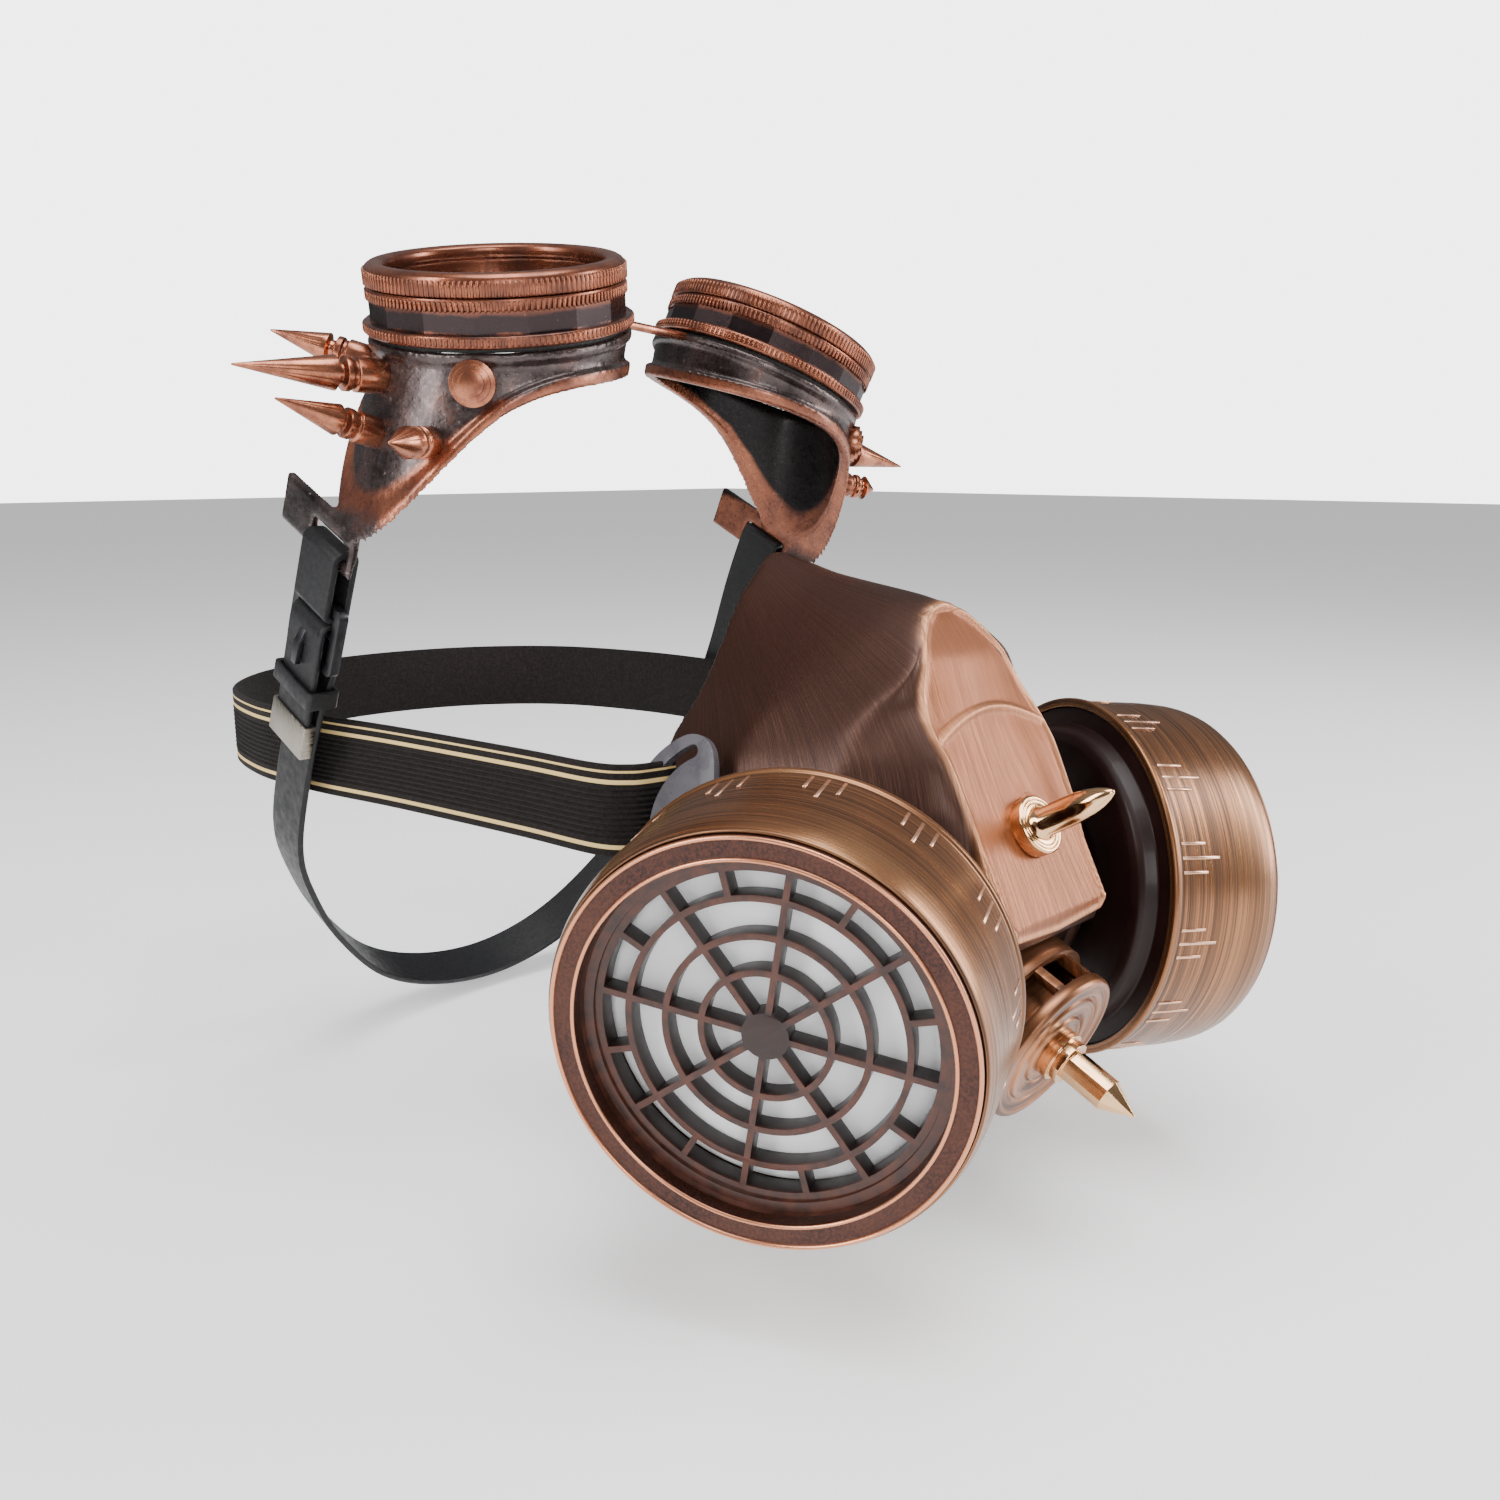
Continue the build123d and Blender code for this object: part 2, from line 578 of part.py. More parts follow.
def cup_form(side, grow, longer=0.0):
    """Cup wall as a solid: round under the ring, and flaring down the side of the forehead."""
    foot = Plane(goggle_plane().location * Location((side * (CUP_SPREAD + FOOT_OUT), 0, -CUP_DEEP)))
    with BuildPart(mode=Mode.PRIVATE) as body:
        with BuildSketch(cup_plane(side, RING_LOW)):
            Circle(CUP_R + grow)
        with BuildSketch(foot):
            Circle(CUP_FOOT_R + grow)
        loft()
        if longer:
            with BuildSketch(cup_plane(side, RING_LOW)):
                Circle(CUP_R + grow)
            extrude(amount=longer)
            with BuildSketch(foot):
                Circle(CUP_FOOT_R + grow)
            extrude(amount=-longer)
    return body.part


def cup_rim(side):
    """Rolled rim along the forehead: a thin slice of the cup's form, grown by the bead."""
    with BuildPart(mode=Mode.PRIVATE) as body:
        add(cup_form(side, BEAD))
        add(brow_slab(side, 0, 2 * BEAD), mode=Mode.INTERSECT)
    return body.part


def brow_slab(side, low, high):
    """Everything between two heights above the forehead line, across the cup."""
    line = [(side * x, z) for x, z in BROW]
    with BuildPart(mode=Mode.PRIVATE) as body:
        with BuildSketch(Plane(goggle_plane().location * Location((0, 0, 0), (90, 0, 0)))):
            with BuildLine():
                Spline(*[(x, z + low) for x, z in line])
                Line((line[-1][0], line[-1][1] + low), (line[-1][0], line[-1][1] + high))
                Spline(*[(x, z + high) for x, z in reversed(line)])
                Line((line[0][0], line[0][1] + high), (line[0][0], line[0][1] + low))
            make_face()
        extrude(amount=2 * CUP_R, both=True)
    return body.part


for side, word in SIDES:
    face, bar = LUG[word]
    away = -1 if side < 0 else 1
    with BuildPart() as cup:
        add(cup_form(side, 0))
        add(brow_slab(side, 0, 90), mode=Mode.INTERSECT)
        add(cup_rim(side))
        add(cup_turned(side, ((CUP_R - 4, RING_LOW), (RING_R - 0.6, RING_LOW), (RING_R - 0.6, GASKET_Z),
                              (CUP_R - 4, GASKET_Z))))
        with BuildSketch(strap_plane().offset(LUG_FRONT)):
            with Locations((face - away * LUG_T / 2, bar + 6.5)):
                Rectangle(LUG_T, 13)
        extrude(amount=STRAP_W / 2 + 3 - LUG_FRONT)
        with BuildSketch(strap_plane().offset(-STRAP_W / 2 - 0.8)):
            with Locations((face, bar + LUG_BAR + LUG_SLOT / 2)):
                Rectangle(3 * LUG_T, LUG_SLOT)
        extrude(amount=STRAP_W + 1.6, mode=Mode.SUBTRACT)
        add(cup_form(side, -CUP_WALL, 4), mode=Mode.SUBTRACT)
    save(cup.part, "goggle_cup_" + word)

    with BuildPart() as gasket:
        add(cup_turned(side, ((25.5, GASKET_Z), (COLLAR_BAND_R - 0.7, GASKET_Z), (COLLAR_BAND_R - 0.7, 0),
                              (25.5, 0))))
    save(gasket.part, "cup_gasket_" + word)

    # Knurled collar that holds the lens; the bezel's skirt turns in it.
    with BuildPart() as collar:
        add(cup_turned(side, ((26, 0), (RING_R, 0), (RING_R, FLANGE_H), (COLLAR_BAND_R, FLANGE_H),
                              (COLLAR_BAND_R, SEAM_H - 2.7), (BEZEL_R, SEAM_H - 2.7), (BEZEL_R, SEAM_H),
                              (THREAD_R, SEAM_H), (THREAD_R, FLANGE_H), (26, FLANGE_H))))
    save(collar.part, "lens_collar_" + word)

    with BuildPart() as lens:
        with BuildSketch(cup_plane(side, FLANGE_H)):
            Circle(LENS_R)
        extrude(amount=LENS_T)
    save(lens.part, "lens_" + word)

    with BuildPart() as bezel:
        add(cup_turned(side, ((SKIRT_R, FLANGE_H + LENS_T + 0.2),
                              (THREAD_R - THREAD_CLEAR, FLANGE_H + LENS_T + 0.2),
                              (THREAD_R - THREAD_CLEAR, SEAM_H + 0.1), (BEZEL_R, SEAM_H + 0.1),
                              (BEZEL_R, STACK_H - 2.0), (BEZEL_R - 0.6, STACK_H - 0.7),
                              (BEZEL_R - 2, STACK_H),
                              (BEZEL_OPEN_R + 1.2, STACK_H), (BEZEL_OPEN_R, STACK_H - 1.2),
                              (BEZEL_OPEN_R, SEAM_H + 2.4), (SKIRT_R, SEAM_H + 1.4))))
    save(bezel.part, "lens_bezel_" + word)

    # Screwed-on cones round the outer side of the cup.
    with BuildPart() as spikes:
        for turn, depth, tilt, length, r in SPIKES[word]:
            a = radians(turn)
            seat = Location((side * (CUP_SPREAD + CUP_R * cos(a)), CUP_R * sin(a), depth),
                            (0, 0, turn if side > 0 else 180 - turn))
            base = Plane(goggle_plane().location * seat * Location((0, 0, 0), (0, 90 - tilt, 0)))
            with BuildSketch(Plane(base.location * Location((0, 0, 0), (90, 0, 0)))):
                with BuildLine():
                    Polyline((0, -3), (r, -3), (r, 5.0), (0.84 * r, 5.4), (0.84 * r, 6.2), (0.98 * r, 6.6),
                             (0.98 * r, 8.0), (0.6 * r, 8.6), (0.6 * r, 9.6), (r, 10.2), (0.25, length),
                             (0, length), close=True)
                make_face()
            revolve(axis=Axis(base.origin, base.z_dir))
        add(cup_form(side, 0.02), mode=Mode.SUBTRACT)
        add(cup.part, mode=Mode.SUBTRACT)
    save(spikes.part, "side_spikes_" + word)

    with BuildPart() as boss:
        way = radians(BOSS_TURN)
        seat = Location((side * (CUP_SPREAD + CUP_R * cos(way)), -CUP_R * sin(way), BOSS_Z),
                        (0, 0, -BOSS_TURN if side > 0 else BOSS_TURN - 180))
        base = Plane(goggle_plane().location * seat * Location((0, 0, 0), (0, 90, 0)))
        for r, h in ((BOSS_R, 0.55), (0.8 * BOSS_R, 0.8), (0.55 * BOSS_R, 1.0)):
            with BuildSketch(base.offset(-2)):
                Circle(r)
            extrude(amount=2 + h * BOSS_H)
        add(cup_form(side, 0.02), mode=Mode.SUBTRACT)
        add(cup.part, mode=Mode.SUBTRACT)
    save(boss.part, "rivet_boss_" + word)

with BuildPart() as bridge:
    reach = CUP_SPREAD - RING_R * cos(radians(CUP_SPLAY)) + 1.2
    rise = RING_R * sin(radians(CUP_SPLAY)) + RING_LOW + 1.2
    with BuildSketch(Plane(goggle_plane().location * Location((-reach, 0, rise), (0, 90, 0)))):
        Circle(1.2)
    extrude(amount=2 * reach)
    for side, word in SIDES:
        add(cup_turned(side, ((CUP_R - 4, RING_LOW - 3), (RING_R - 0.6, RING_LOW - 3),
                              (RING_R - 0.6, GASKET_Z), (CUP_R - 4, GASKET_Z))), mode=Mode.SUBTRACT)
save(bridge.part, "bridge_rod")

# ================================================================ goggle strap and its buckle
outer, inner = band_outline(STRAP_PATH, STRAP_T)
with BuildPart() as strap_long:
    with BuildSketch(strap_plane().offset(-STRAP_W / 2)):
        with BuildLine():
            Polyline(*outer, *reversed(inner), close=True)
        make_face()
    extrude(amount=STRAP_W)
    with BuildSketch(strap_plane().offset(-PRONG_W / 2 - 0.6)):
        with Locations((BUCKLE_U - 2.2, BAR_V - 1.5)):
            Rectangle(7.0, 11.0)
    extrude(amount=PRONG_W + 1.2, mode=Mode.SUBTRACT)
save(strap_long.part, "goggle_strap_long")

# Short strap: a loop through the right lug and round the buckle's top bar.
loop_low = BUCKLE_V + BUCKLE_L - BUCKLE_BAR - 0.4 - STRAP_T
loop_high = LUG["right"][1] + LUG_BAR + 0.4 + STRAP_T
loop_u = BUCKLE_U + BUCKLE_T / 2
with BuildPart() as strap_short:
    with BuildSketch(strap_plane().offset(-STRAP_W / 2)):
        with Locations((loop_u, (loop_low + loop_high) / 2)):
            RectangleRounded(BUCKLE_T + 1.0 + 2 * STRAP_T, loop_high - loop_low, 2.6)
            RectangleRounded(BUCKLE_T + 1.0, loop_high - loop_low - 2 * STRAP_T, 0.8, mode=Mode.SUBTRACT)
    extrude(amount=STRAP_W)
save(strap_short.part, "goggle_strap_short")

with BuildPart() as buckle:
    face = Plane(strap_plane().location * Location((BUCKLE_U, BUCKLE_V + BUCKLE_L / 2, 0), (0, -90, 0)))
    with BuildSketch(face.offset(-BUCKLE_T)):
        RectangleRounded(BUCKLE_W, BUCKLE_L, 2.0)
        Rectangle(STRAP_W + 1.4, BUCKLE_L - 2 * BUCKLE_BAR, mode=Mode.SUBTRACT)
    extrude(amount=BUCKLE_T)
    with BuildSketch(strap_plane().offset(-STRAP_W / 2 - 1)):
        with Locations((BUCKLE_U + BUCKLE_T / 2, BAR_V)):
            Circle(BAR_R)
    extrude(amount=STRAP_W + 2)
save(buckle.part, "buckle_frame")

with BuildPart() as prong:
    with BuildSketch(strap_plane().offset(-PRONG_W / 2)):
        with Locations((BUCKLE_U + BUCKLE_T / 2, BAR_V)):
            Circle(BAR_R + PRONG_CLEAR + 0.6)
        with BuildLine():
            Polyline((BUCKLE_U + 0.6, BAR_V + 1.6), (BUCKLE_U - 2.6, BAR_V - 1.4),
                     (BUCKLE_U - 4.0, BUCKLE_V + 5), (BUCKLE_U - 4.0, BUCKLE_V - 1),
                     (BUCKLE_U - 2.6, BUCKLE_V - 1), (BUCKLE_U - 2.5, BUCKLE_V + 5),
                     (BUCKLE_U + 0.2, BAR_V - 1.6), close=True)
        make_face()
        with Locations((BUCKLE_U + BUCKLE_T / 2, BAR_V)):
            Circle(BAR_R + PRONG_CLEAR, mode=Mode.SUBTRACT)
    extrude(amount=PRONG_W)
save(prong.part, "buckle_prong")

with BuildPart() as keeper:
    across = Plane(strap_plane().location * Location((-85.5, KEEPER_V, 0), (-90, 0, 0)))
    with BuildSketch(across):
        RectangleRounded(9.0, STRAP_W + 3.6, 1.2)
        RectangleRounded(7.0, STRAP_W + 1.0, 0.4, mode=Mode.SUBTRACT)
    extrude(amount=KEEPER_L)
save(keeper.part, "keeper_loop")

with BuildPart() as clip:
    with BuildSketch(strap_plane().offset(-STRAP_W / 2 - CLIP_T)):
        with Locations((STRAP_PATH[0][0], CLIP_V + CLIP_L / 2)):
            Rectangle(STRAP_T + 2 * CLIP_T, CLIP_L)
    extrude(amount=STRAP_W + 2 * CLIP_T)
    add(strap_long.part, mode=Mode.SUBTRACT)
save(clip.part, "strap_end_clip")
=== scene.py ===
import math

import bpy
import bmesh
import numpy as np
from mathutils import Matrix, Vector


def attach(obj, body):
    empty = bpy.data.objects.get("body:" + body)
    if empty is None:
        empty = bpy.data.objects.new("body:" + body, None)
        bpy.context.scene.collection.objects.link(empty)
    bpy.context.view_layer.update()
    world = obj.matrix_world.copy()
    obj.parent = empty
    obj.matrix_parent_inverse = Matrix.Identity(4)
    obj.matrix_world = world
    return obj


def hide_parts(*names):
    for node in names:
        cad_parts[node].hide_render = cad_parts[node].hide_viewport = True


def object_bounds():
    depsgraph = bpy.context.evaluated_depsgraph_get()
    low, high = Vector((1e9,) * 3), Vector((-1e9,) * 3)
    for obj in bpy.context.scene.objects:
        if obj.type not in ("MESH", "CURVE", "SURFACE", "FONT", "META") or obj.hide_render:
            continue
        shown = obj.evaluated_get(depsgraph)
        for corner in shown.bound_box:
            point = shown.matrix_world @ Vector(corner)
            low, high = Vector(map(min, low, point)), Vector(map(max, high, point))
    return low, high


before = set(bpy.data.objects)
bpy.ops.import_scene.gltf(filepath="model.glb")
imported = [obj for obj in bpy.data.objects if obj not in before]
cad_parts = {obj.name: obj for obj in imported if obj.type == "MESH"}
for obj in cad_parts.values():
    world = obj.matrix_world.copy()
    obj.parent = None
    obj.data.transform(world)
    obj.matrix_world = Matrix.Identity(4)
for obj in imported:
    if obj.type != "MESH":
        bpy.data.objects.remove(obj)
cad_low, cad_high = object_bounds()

MM = 0.001

# ------------------------------------------------------------------ mask shell
# The half mask is one vacuum-formed plastic shell, sprayed in dark antique copper and
# brushed by hand. A keystone panel stands out of the nose, rubbed back to lighter copper,
# with a rolled edge and a ridge across it.
SHELL_VOXEL = 1.0 * MM
SHELL_ROUNDING = 7
NOSE_ROUNDING = 30
SPIKE_MIDDLE = (0, -147.1, -2.8)
STROKE_AXIS = -0.040
KEYSTONE = ((0, 46.2), (3.5, 45.4), (7.5, 43.4), (11.5, 39.6), (15.0, 34.6), (18.0, 28.8), (20.3, 22.4),
            (20.8, 19.0), (19.2, -20), (17.5, -23.3), (0, -24.5))
PANEL_PROFILE = ((-156.2, -21.3), (-134.8, 22.4), (-129.2, 34.8), (-121.3, 44.4))
PANEL_CROWN = 3.0
LIFT_REACH = 17.0
KEYSTONE_EDGE = 0.85
KEYSTONE_EDGE_WIDTH = 0.85
CROSS_RIDGE = [(x, 18.4 + 5.2 * math.cos(math.radians(4.5 * x))) for x in range(-20, 21, 2)]
SHELL_DARK = (0.026, 0.0105, 0.007, 1)
SHELL_MID = (0.090, 0.038, 0.024, 1)
PANEL_COPPER = (0.36, 0.125, 0.050, 1)
PANEL_DEEP = (0.17, 0.052, 0.021, 1)
RUBBED_COPPER = (0.78, 0.36, 0.185, 1)


def feed(tree, socket, value):
    """Gives a socket a value, or joins another node's output to it."""
    if isinstance(value, bpy.types.NodeSocket):
        tree.links.new(value, socket)
    else:
        socket.default_value = value


def join(tree, kind, inputs=None, **settings):
    """Adds a node and feeds its inputs."""
    node = tree.nodes.new(kind)
    for key, value in settings.items():
        setattr(node, key, value)
    for key, value in (inputs or {}).items():
        feed(tree, node.inputs[key], value)
    return node


def mixed(tree, share, first, second):
    """Colour between two colours, by a share from 0 to 1."""
    node = join(tree, "ShaderNodeMix", data_type="RGBA")
    for key, value in ((0, share), (6, first), (7, second)):
        feed(tree, node.inputs[key], value)
    return node.outputs[2]


def spread(tree, value, low, high, to_low=0.0, to_high=1.0):
    """A value stretched from one range to another, and held there."""
    return join(tree, "ShaderNodeMapRange", {"Value": value, "From Min": low, "From Max": high,
                                             "To Min": to_low, "To Max": to_high}).outputs[0]


def summed(tree, first, second, how="ADD"):
    """Two values put together, by adding unless another way is named."""
    return join(tree, "ShaderNodeMath", {0: first, 1: second}, operation=how).outputs[0]


def object_space(tree):
    return join(tree, "ShaderNodeTexCoord").outputs["Object"]


def attribute(tree, name):
    return join(tree, "ShaderNodeAttribute", attribute_name=name).outputs["Fac"]


def noise(tree, where, scale, detail, roughness=0.5):
    return join(tree, "ShaderNodeTexNoise", {"Vector": where, "Scale": scale, "Detail": detail,
                                             "Roughness": roughness}).outputs[0]


def colored(tree, shader, color):
    tree.links.new(color, shader.inputs["Base Color"])


def roughened(tree, shader, value):
    tree.links.new(value, shader.inputs["Roughness"])


def new_material(name, color, roughness, metallic, **more):
    """A material with its Principled shader; more sets any other of the shader's inputs."""
    material = bpy.data.materials.new(name)
    material.use_nodes = True
    tree = material.node_tree
    shader = tree.nodes["Principled BSDF"]
    values = {"Base Color": color, "Roughness": roughness, "Metallic": metallic}
    values.update({key.replace("_", " "): value for key, value in more.items()})
    for key, value in values.items():
        shader.inputs[key].default_value = value
    return material, tree, shader


def group_with(name, inputs, outputs):
    """An empty shader group with named sockets, and its input and output nodes."""
    tree = bpy.data.node_groups.new(name, "ShaderNodeTree")
    for socket, kind, value in inputs:
        made = tree.interface.new_socket(name=socket, in_out="INPUT", socket_type="NodeSocket" + kind)
        if value is not None:
            made.default_value = value
    for socket, kind in outputs:
        tree.interface.new_socket(name=socket, in_out="OUTPUT", socket_type="NodeSocket" + kind)
    return tree, tree.nodes.new("NodeGroupInput").outputs, tree.nodes.new("NodeGroupOutput").inputs


def brushing_group():
    """Long fine scratches and broader streaks. The vector's X runs along the brush strokes."""
    tree, given, result = group_with(
        "brushing", [("Vector", "Vector", None), ("Fineness", "Float", 1600.0), ("Stroke", "Float", 22.0)],
        [("Streaks", "Float"), ("Scratches", "Float"), ("Clouds", "Float")])
    along = join(tree, "ShaderNodeCombineXYZ", {"X": given["Stroke"], "Y": given["Fineness"],
                                                "Z": given["Fineness"]})
    fine = join(tree, "ShaderNodeVectorMath", {0: given["Vector"], 1: along.outputs[0]}, operation="MULTIPLY")
    scratch = noise(tree, fine.outputs[0], 1.0, 2.0)
    broad = join(tree, "ShaderNodeVectorMath", {0: fine.outputs[0], 1: (0.8, 0.3, 0.3)}, operation="MULTIPLY")
    streak = noise(tree, broad.outputs[0], 1.0, 3.0, 0.6)
    cloud = noise(tree, given["Vector"], 38.0, 3.0)
    tree.links.new(spread(tree, streak, 0.34, 0.66), result["Streaks"])
    tree.links.new(scratch, result["Scratches"])
    tree.links.new(spread(tree, cloud, 0.34, 0.66), result["Clouds"])
    return tree


BRUSHING = brushing_group()


def placed_group(tree, group, inputs):
    node = join(tree, "ShaderNodeGroup")
    node.node_tree = group
    for key, value in inputs.items():
        feed(tree, node.inputs[key], value)
    return node.outputs


def bumped(tree, shader, height, strength, distance, under=None):
    inputs = {"Height": height, "Strength": strength, "Distance": distance}
    if under is not None:
        inputs["Normal"] = under
    bump = join(tree, "ShaderNodeBump", inputs)
    tree.links.new(bump.outputs[0], shader.inputs["Normal"])
    return bump.outputs[0]


def shell_material():
    material, tree, shader = new_material("brushed antique copper", SHELL_MID, 0.4, 0.72, Coat_Weight=0.12,
                                          Coat_Roughness=0.3)
    where = object_space(tree)
    spot = join(tree, "ShaderNodeSeparateXYZ", {0: where}).outputs
    ahead = summed(tree, summed(tree, spot[1], STROKE_AXIS, "SUBTRACT"), -1.0, "MULTIPLY")
    wave = noise(tree, where, 12.0, 1.0)
    round_way = summed(tree, summed(tree, spot[0], ahead, "ARCTAN2"),
                       spread(tree, wave, 0, 1, -0.05, 0.05))
    strokes = join(tree, "ShaderNodeCombineXYZ",
                   {"X": spot[2], "Y": summed(tree, round_way, 0.09, "MULTIPLY")})
    brush = placed_group(tree, BRUSHING, {"Vector": strokes.outputs[0], "Fineness": 7500.0, "Stroke": 40.0})
    panel = attribute(tree, "panel")
    rolled = attribute(tree, "rolled")
    dark = mixed(tree, spread(tree, brush["Streaks"], 0, 1, 0.2, 0.8), SHELL_DARK, SHELL_MID)
    light = mixed(tree, spread(tree, brush["Streaks"], 0, 1, 0.3, 0.85), PANEL_DEEP, PANEL_COPPER)
    body = mixed(tree, panel, dark, light)
    edge = summed(tree, rolled, spread(tree, brush["Streaks"], 0, 1, 0.55, 1.0), "MULTIPLY")
    colored(tree, shader, mixed(tree, edge, body, RUBBED_COPPER))
    roughened(tree, shader, spread(tree, brush["Streaks"], 0, 1, 0.44, 0.30))
    bumped(tree, shader, brush["Scratches"], 0.3, 0.00025)
    return material


def merged_copy(node, name):
    """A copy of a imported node's mesh with its loose triangles joined up."""
    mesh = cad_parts[node].data.copy()
    mesh.name = name
    form = bmesh.new()
    form.from_mesh(mesh)
    bmesh.ops.remove_doubles(form, verts=form.verts, dist=0.00002)
    bmesh.ops.dissolve_limit(form, angle_limit=math.radians(0.6), verts=form.verts, edges=form.edges)
    form.to_mesh(mesh)
    form.free()
    made = bpy.data.objects.new(name, mesh)
    bpy.context.scene.collection.objects.link(made)
    mesh.materials.clear()
    for attribute in list(mesh.attributes):
        if attribute.name.startswith("custom_normal"):
            mesh.attributes.remove(attribute)
    return made


def settled(made):
    """Applies what is on an object's modifier stack to its mesh."""
    bpy.context.view_layer.update()
    ready = made.evaluated_get(bpy.context.evaluated_depsgraph_get())
    mesh = bpy.data.meshes.new_from_object(ready)
    made.modifiers.clear()
    made.data = mesh
    return made


def cast(node, name, voxel, rounding):
    """A moulded piece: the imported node's form with every edge softened."""
    made = merged_copy(node, name)
    remesh = made.modifiers.new("moulding", "REMESH")
    remesh.mode = "VOXEL"
    remesh.voxel_size = voxel
    remesh.use_smooth_shade = True
    soften = made.modifiers.new("softening", "SMOOTH")
    soften.factor = 0.5
    soften.iterations = rounding
    return settled(made)


def points_of(mesh):
    """Vertex places in millimetres and vertex normals."""
    places = np.zeros(len(mesh.vertices) * 3)
    mesh.vertices.foreach_get("co", places)
    normals = np.zeros(len(mesh.vertices) * 3)
    mesh.vertex_normals.foreach_get("vector", normals)
    return places.reshape(-1, 3) / MM, normals.reshape(-1, 3)


def line_distance(points, line):
    """Distance from each 2-D point to a line of points."""
    best = np.full(len(points), 1e9)
    for a, b in zip(line[:-1], line[1:]):
        a, b = np.array(a, float), np.array(b, float)
        along = np.clip(((points - a) @ (b - a)) / ((b - a) @ (b - a)), 0, 1)
        best = np.minimum(best, np.linalg.norm(points - a - along[:, None] * (b - a), axis=1))
    return best


def inside(points, corners):
    """Whether each 2-D point is inside a closed outline."""
    hit = np.zeros(len(points), bool)
    for (x0, y0), (x1, y1) in zip(corners, corners[1:] + corners[:1]):
        if y0 == y1:
            continue
        crosses = (points[:, 1] > min(y0, y1)) & (points[:, 1] <= max(y0, y1))
        hit ^= crosses & (points[:, 0] < x0 + (points[:, 1] - y0) / (y1 - y0) * (x1 - x0))
    return hit


def set_values(mesh, name, values):
    layer = mesh.attributes.new(name, "FLOAT", "POINT")
    layer.data.foreach_set("value", np.clip(values, 0, 1).astype(np.float32))


def ride_with_paint(made, material, body, slot, *stands_for):
    """Paints a piece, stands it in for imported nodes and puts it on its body."""
    made.data.materials.append(material)
    if stands_for:
        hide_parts(*stands_for)
    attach(made, body)
    return made


def repaint(node, material):
    """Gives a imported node's own mesh a material."""
    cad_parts[node].data.materials.clear()
    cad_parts[node].data.materials.append(material)


def finish_piece(made, material, body, slot, *stands_for):
    made.data.materials.clear()
    made.data.shade_smooth()
    return ride_with_paint(made, material, body, slot, *stands_for)


def lift_to_panel(mesh, outline):
    """Brings the dome forward beside the panel until it is nearly flush, and crowns the panel."""
    places, normals = points_of(mesh)
    front = places[:, [0, 2]]
    away = np.where(inside(front, outline), 0, line_distance(front, outline + outline[:1]))
    heights = [z for _, z in PANEL_PROFILE]
    panel_y = np.interp(places[:, 2], heights, [y for y, _ in PANEL_PROFILE])
    beside = (away > 2.5) & (away < 6) & (normals[:, 1] < -0.05)
    rows = np.arange(-8, 45, 4)
    gaps = []
    for low in rows:
        chosen = beside & (np.abs(places[:, 2] - low) < 3) & (places[:, 1] < -95)
        gaps.append(np.percentile((places[:, 1] - panel_y)[chosen], 20) if chosen.any() else 0.0)
    gaps = np.convolve(np.pad(np.clip(gaps, 0, 14), 1, mode="edge"), (0.25, 0.5, 0.25), "valid")
    gap = np.interp(places[:, 2], rows, gaps) * np.clip((places[:, 2] + 8) / 12, 0, 1)
    fade = np.clip(1 - away / LIFT_REACH, 0, 1)
    share = fade * fade * (3 - 2 * fade)
    behind = np.clip((places[:, 1] - panel_y) / np.maximum(gap, 0.5), 0, 1)
    move = -0.92 * gap * share * behind * np.clip((-86 - places[:, 1]) / 14, 0, 1)
    crown = np.clip((places[:, 2] - 14) / 12, 0, 1) * np.clip((-116 - places[:, 1]) / 8, 0, 1)
    places[:, 1] += move + PANEL_CROWN * crown * (places[:, 0] / 20) ** 2
    mesh.vertices.foreach_set("co", (places * MM).ravel())


outline = list(KEYSTONE) + [(-x, z) for x, z in reversed(KEYSTONE[1:-1])]
shell = cast("mask_shell", "moulded_shell", SHELL_VOXEL, SHELL_ROUNDING)
lift_to_panel(shell.data, outline)
places, _ = points_of(shell.data)
nose = shell.vertex_groups.new(name="nose")
on_nose = np.clip((-74 - places[:, 1]) / 8, 0, 1) * np.clip((places[:, 2] + 8) / 8, 0, 1)
on_nose *= np.linalg.norm(places - SPIKE_MIDDLE, axis=1) > 10.5
for share in (0.2, 0.4, 0.6, 0.8, 1.0):
    nose.add([int(i) for i in np.flatnonzero(on_nose > share - 0.1)], share, "REPLACE")
rounding = shell.modifiers.new("nose rounding", "SMOOTH")
rounding.factor = 0.5
rounding.iterations = NOSE_ROUNDING
rounding.vertex_group = "nose"
settled(shell)
places, normals = points_of(shell.data)
near = np.minimum(line_distance(places[:, [0, 2]], outline + outline[:1]),
                  line_distance(places[:, [0, 2]], CROSS_RIDGE))
near = (near < 2.6) & (normals[:, 1] < -0.1) & (places[:, 1] < -112)
form = bmesh.new()
form.from_mesh(shell.data)
form.verts.ensure_lookup_table()
edges = [e for e in form.edges if near[e.verts[0].index] and near[e.verts[1].index]]
bmesh.ops.subdivide_edges(form, edges=edges, cuts=2, use_grid_fill=True)
form.to_mesh(shell.data)
form.free()
places, normals = points_of(shell.data)
front = places[:, [0, 2]]
to_edge = line_distance(front, outline + outline[:1])
to_ridge = line_distance(front, CROSS_RIDGE)
within = inside(front, outline)
facing = np.clip((-normals[:, 1] - 0.02) / 0.3, 0, 1) * np.clip((-110 - places[:, 1]) / 5, 0, 1)
outside = np.clip((0.45 - normals[:, 1]) / 0.3, 0, 1) * np.clip((-108 - places[:, 1]) / 5, 0, 1)
edge_rise = np.exp(-(to_edge / KEYSTONE_EDGE_WIDTH) ** 2)
ridge_rise = np.exp(-(to_ridge / KEYSTONE_EDGE_WIDTH) ** 2)
rise = facing * np.maximum(edge_rise, ridge_rise) * KEYSTONE_EDGE
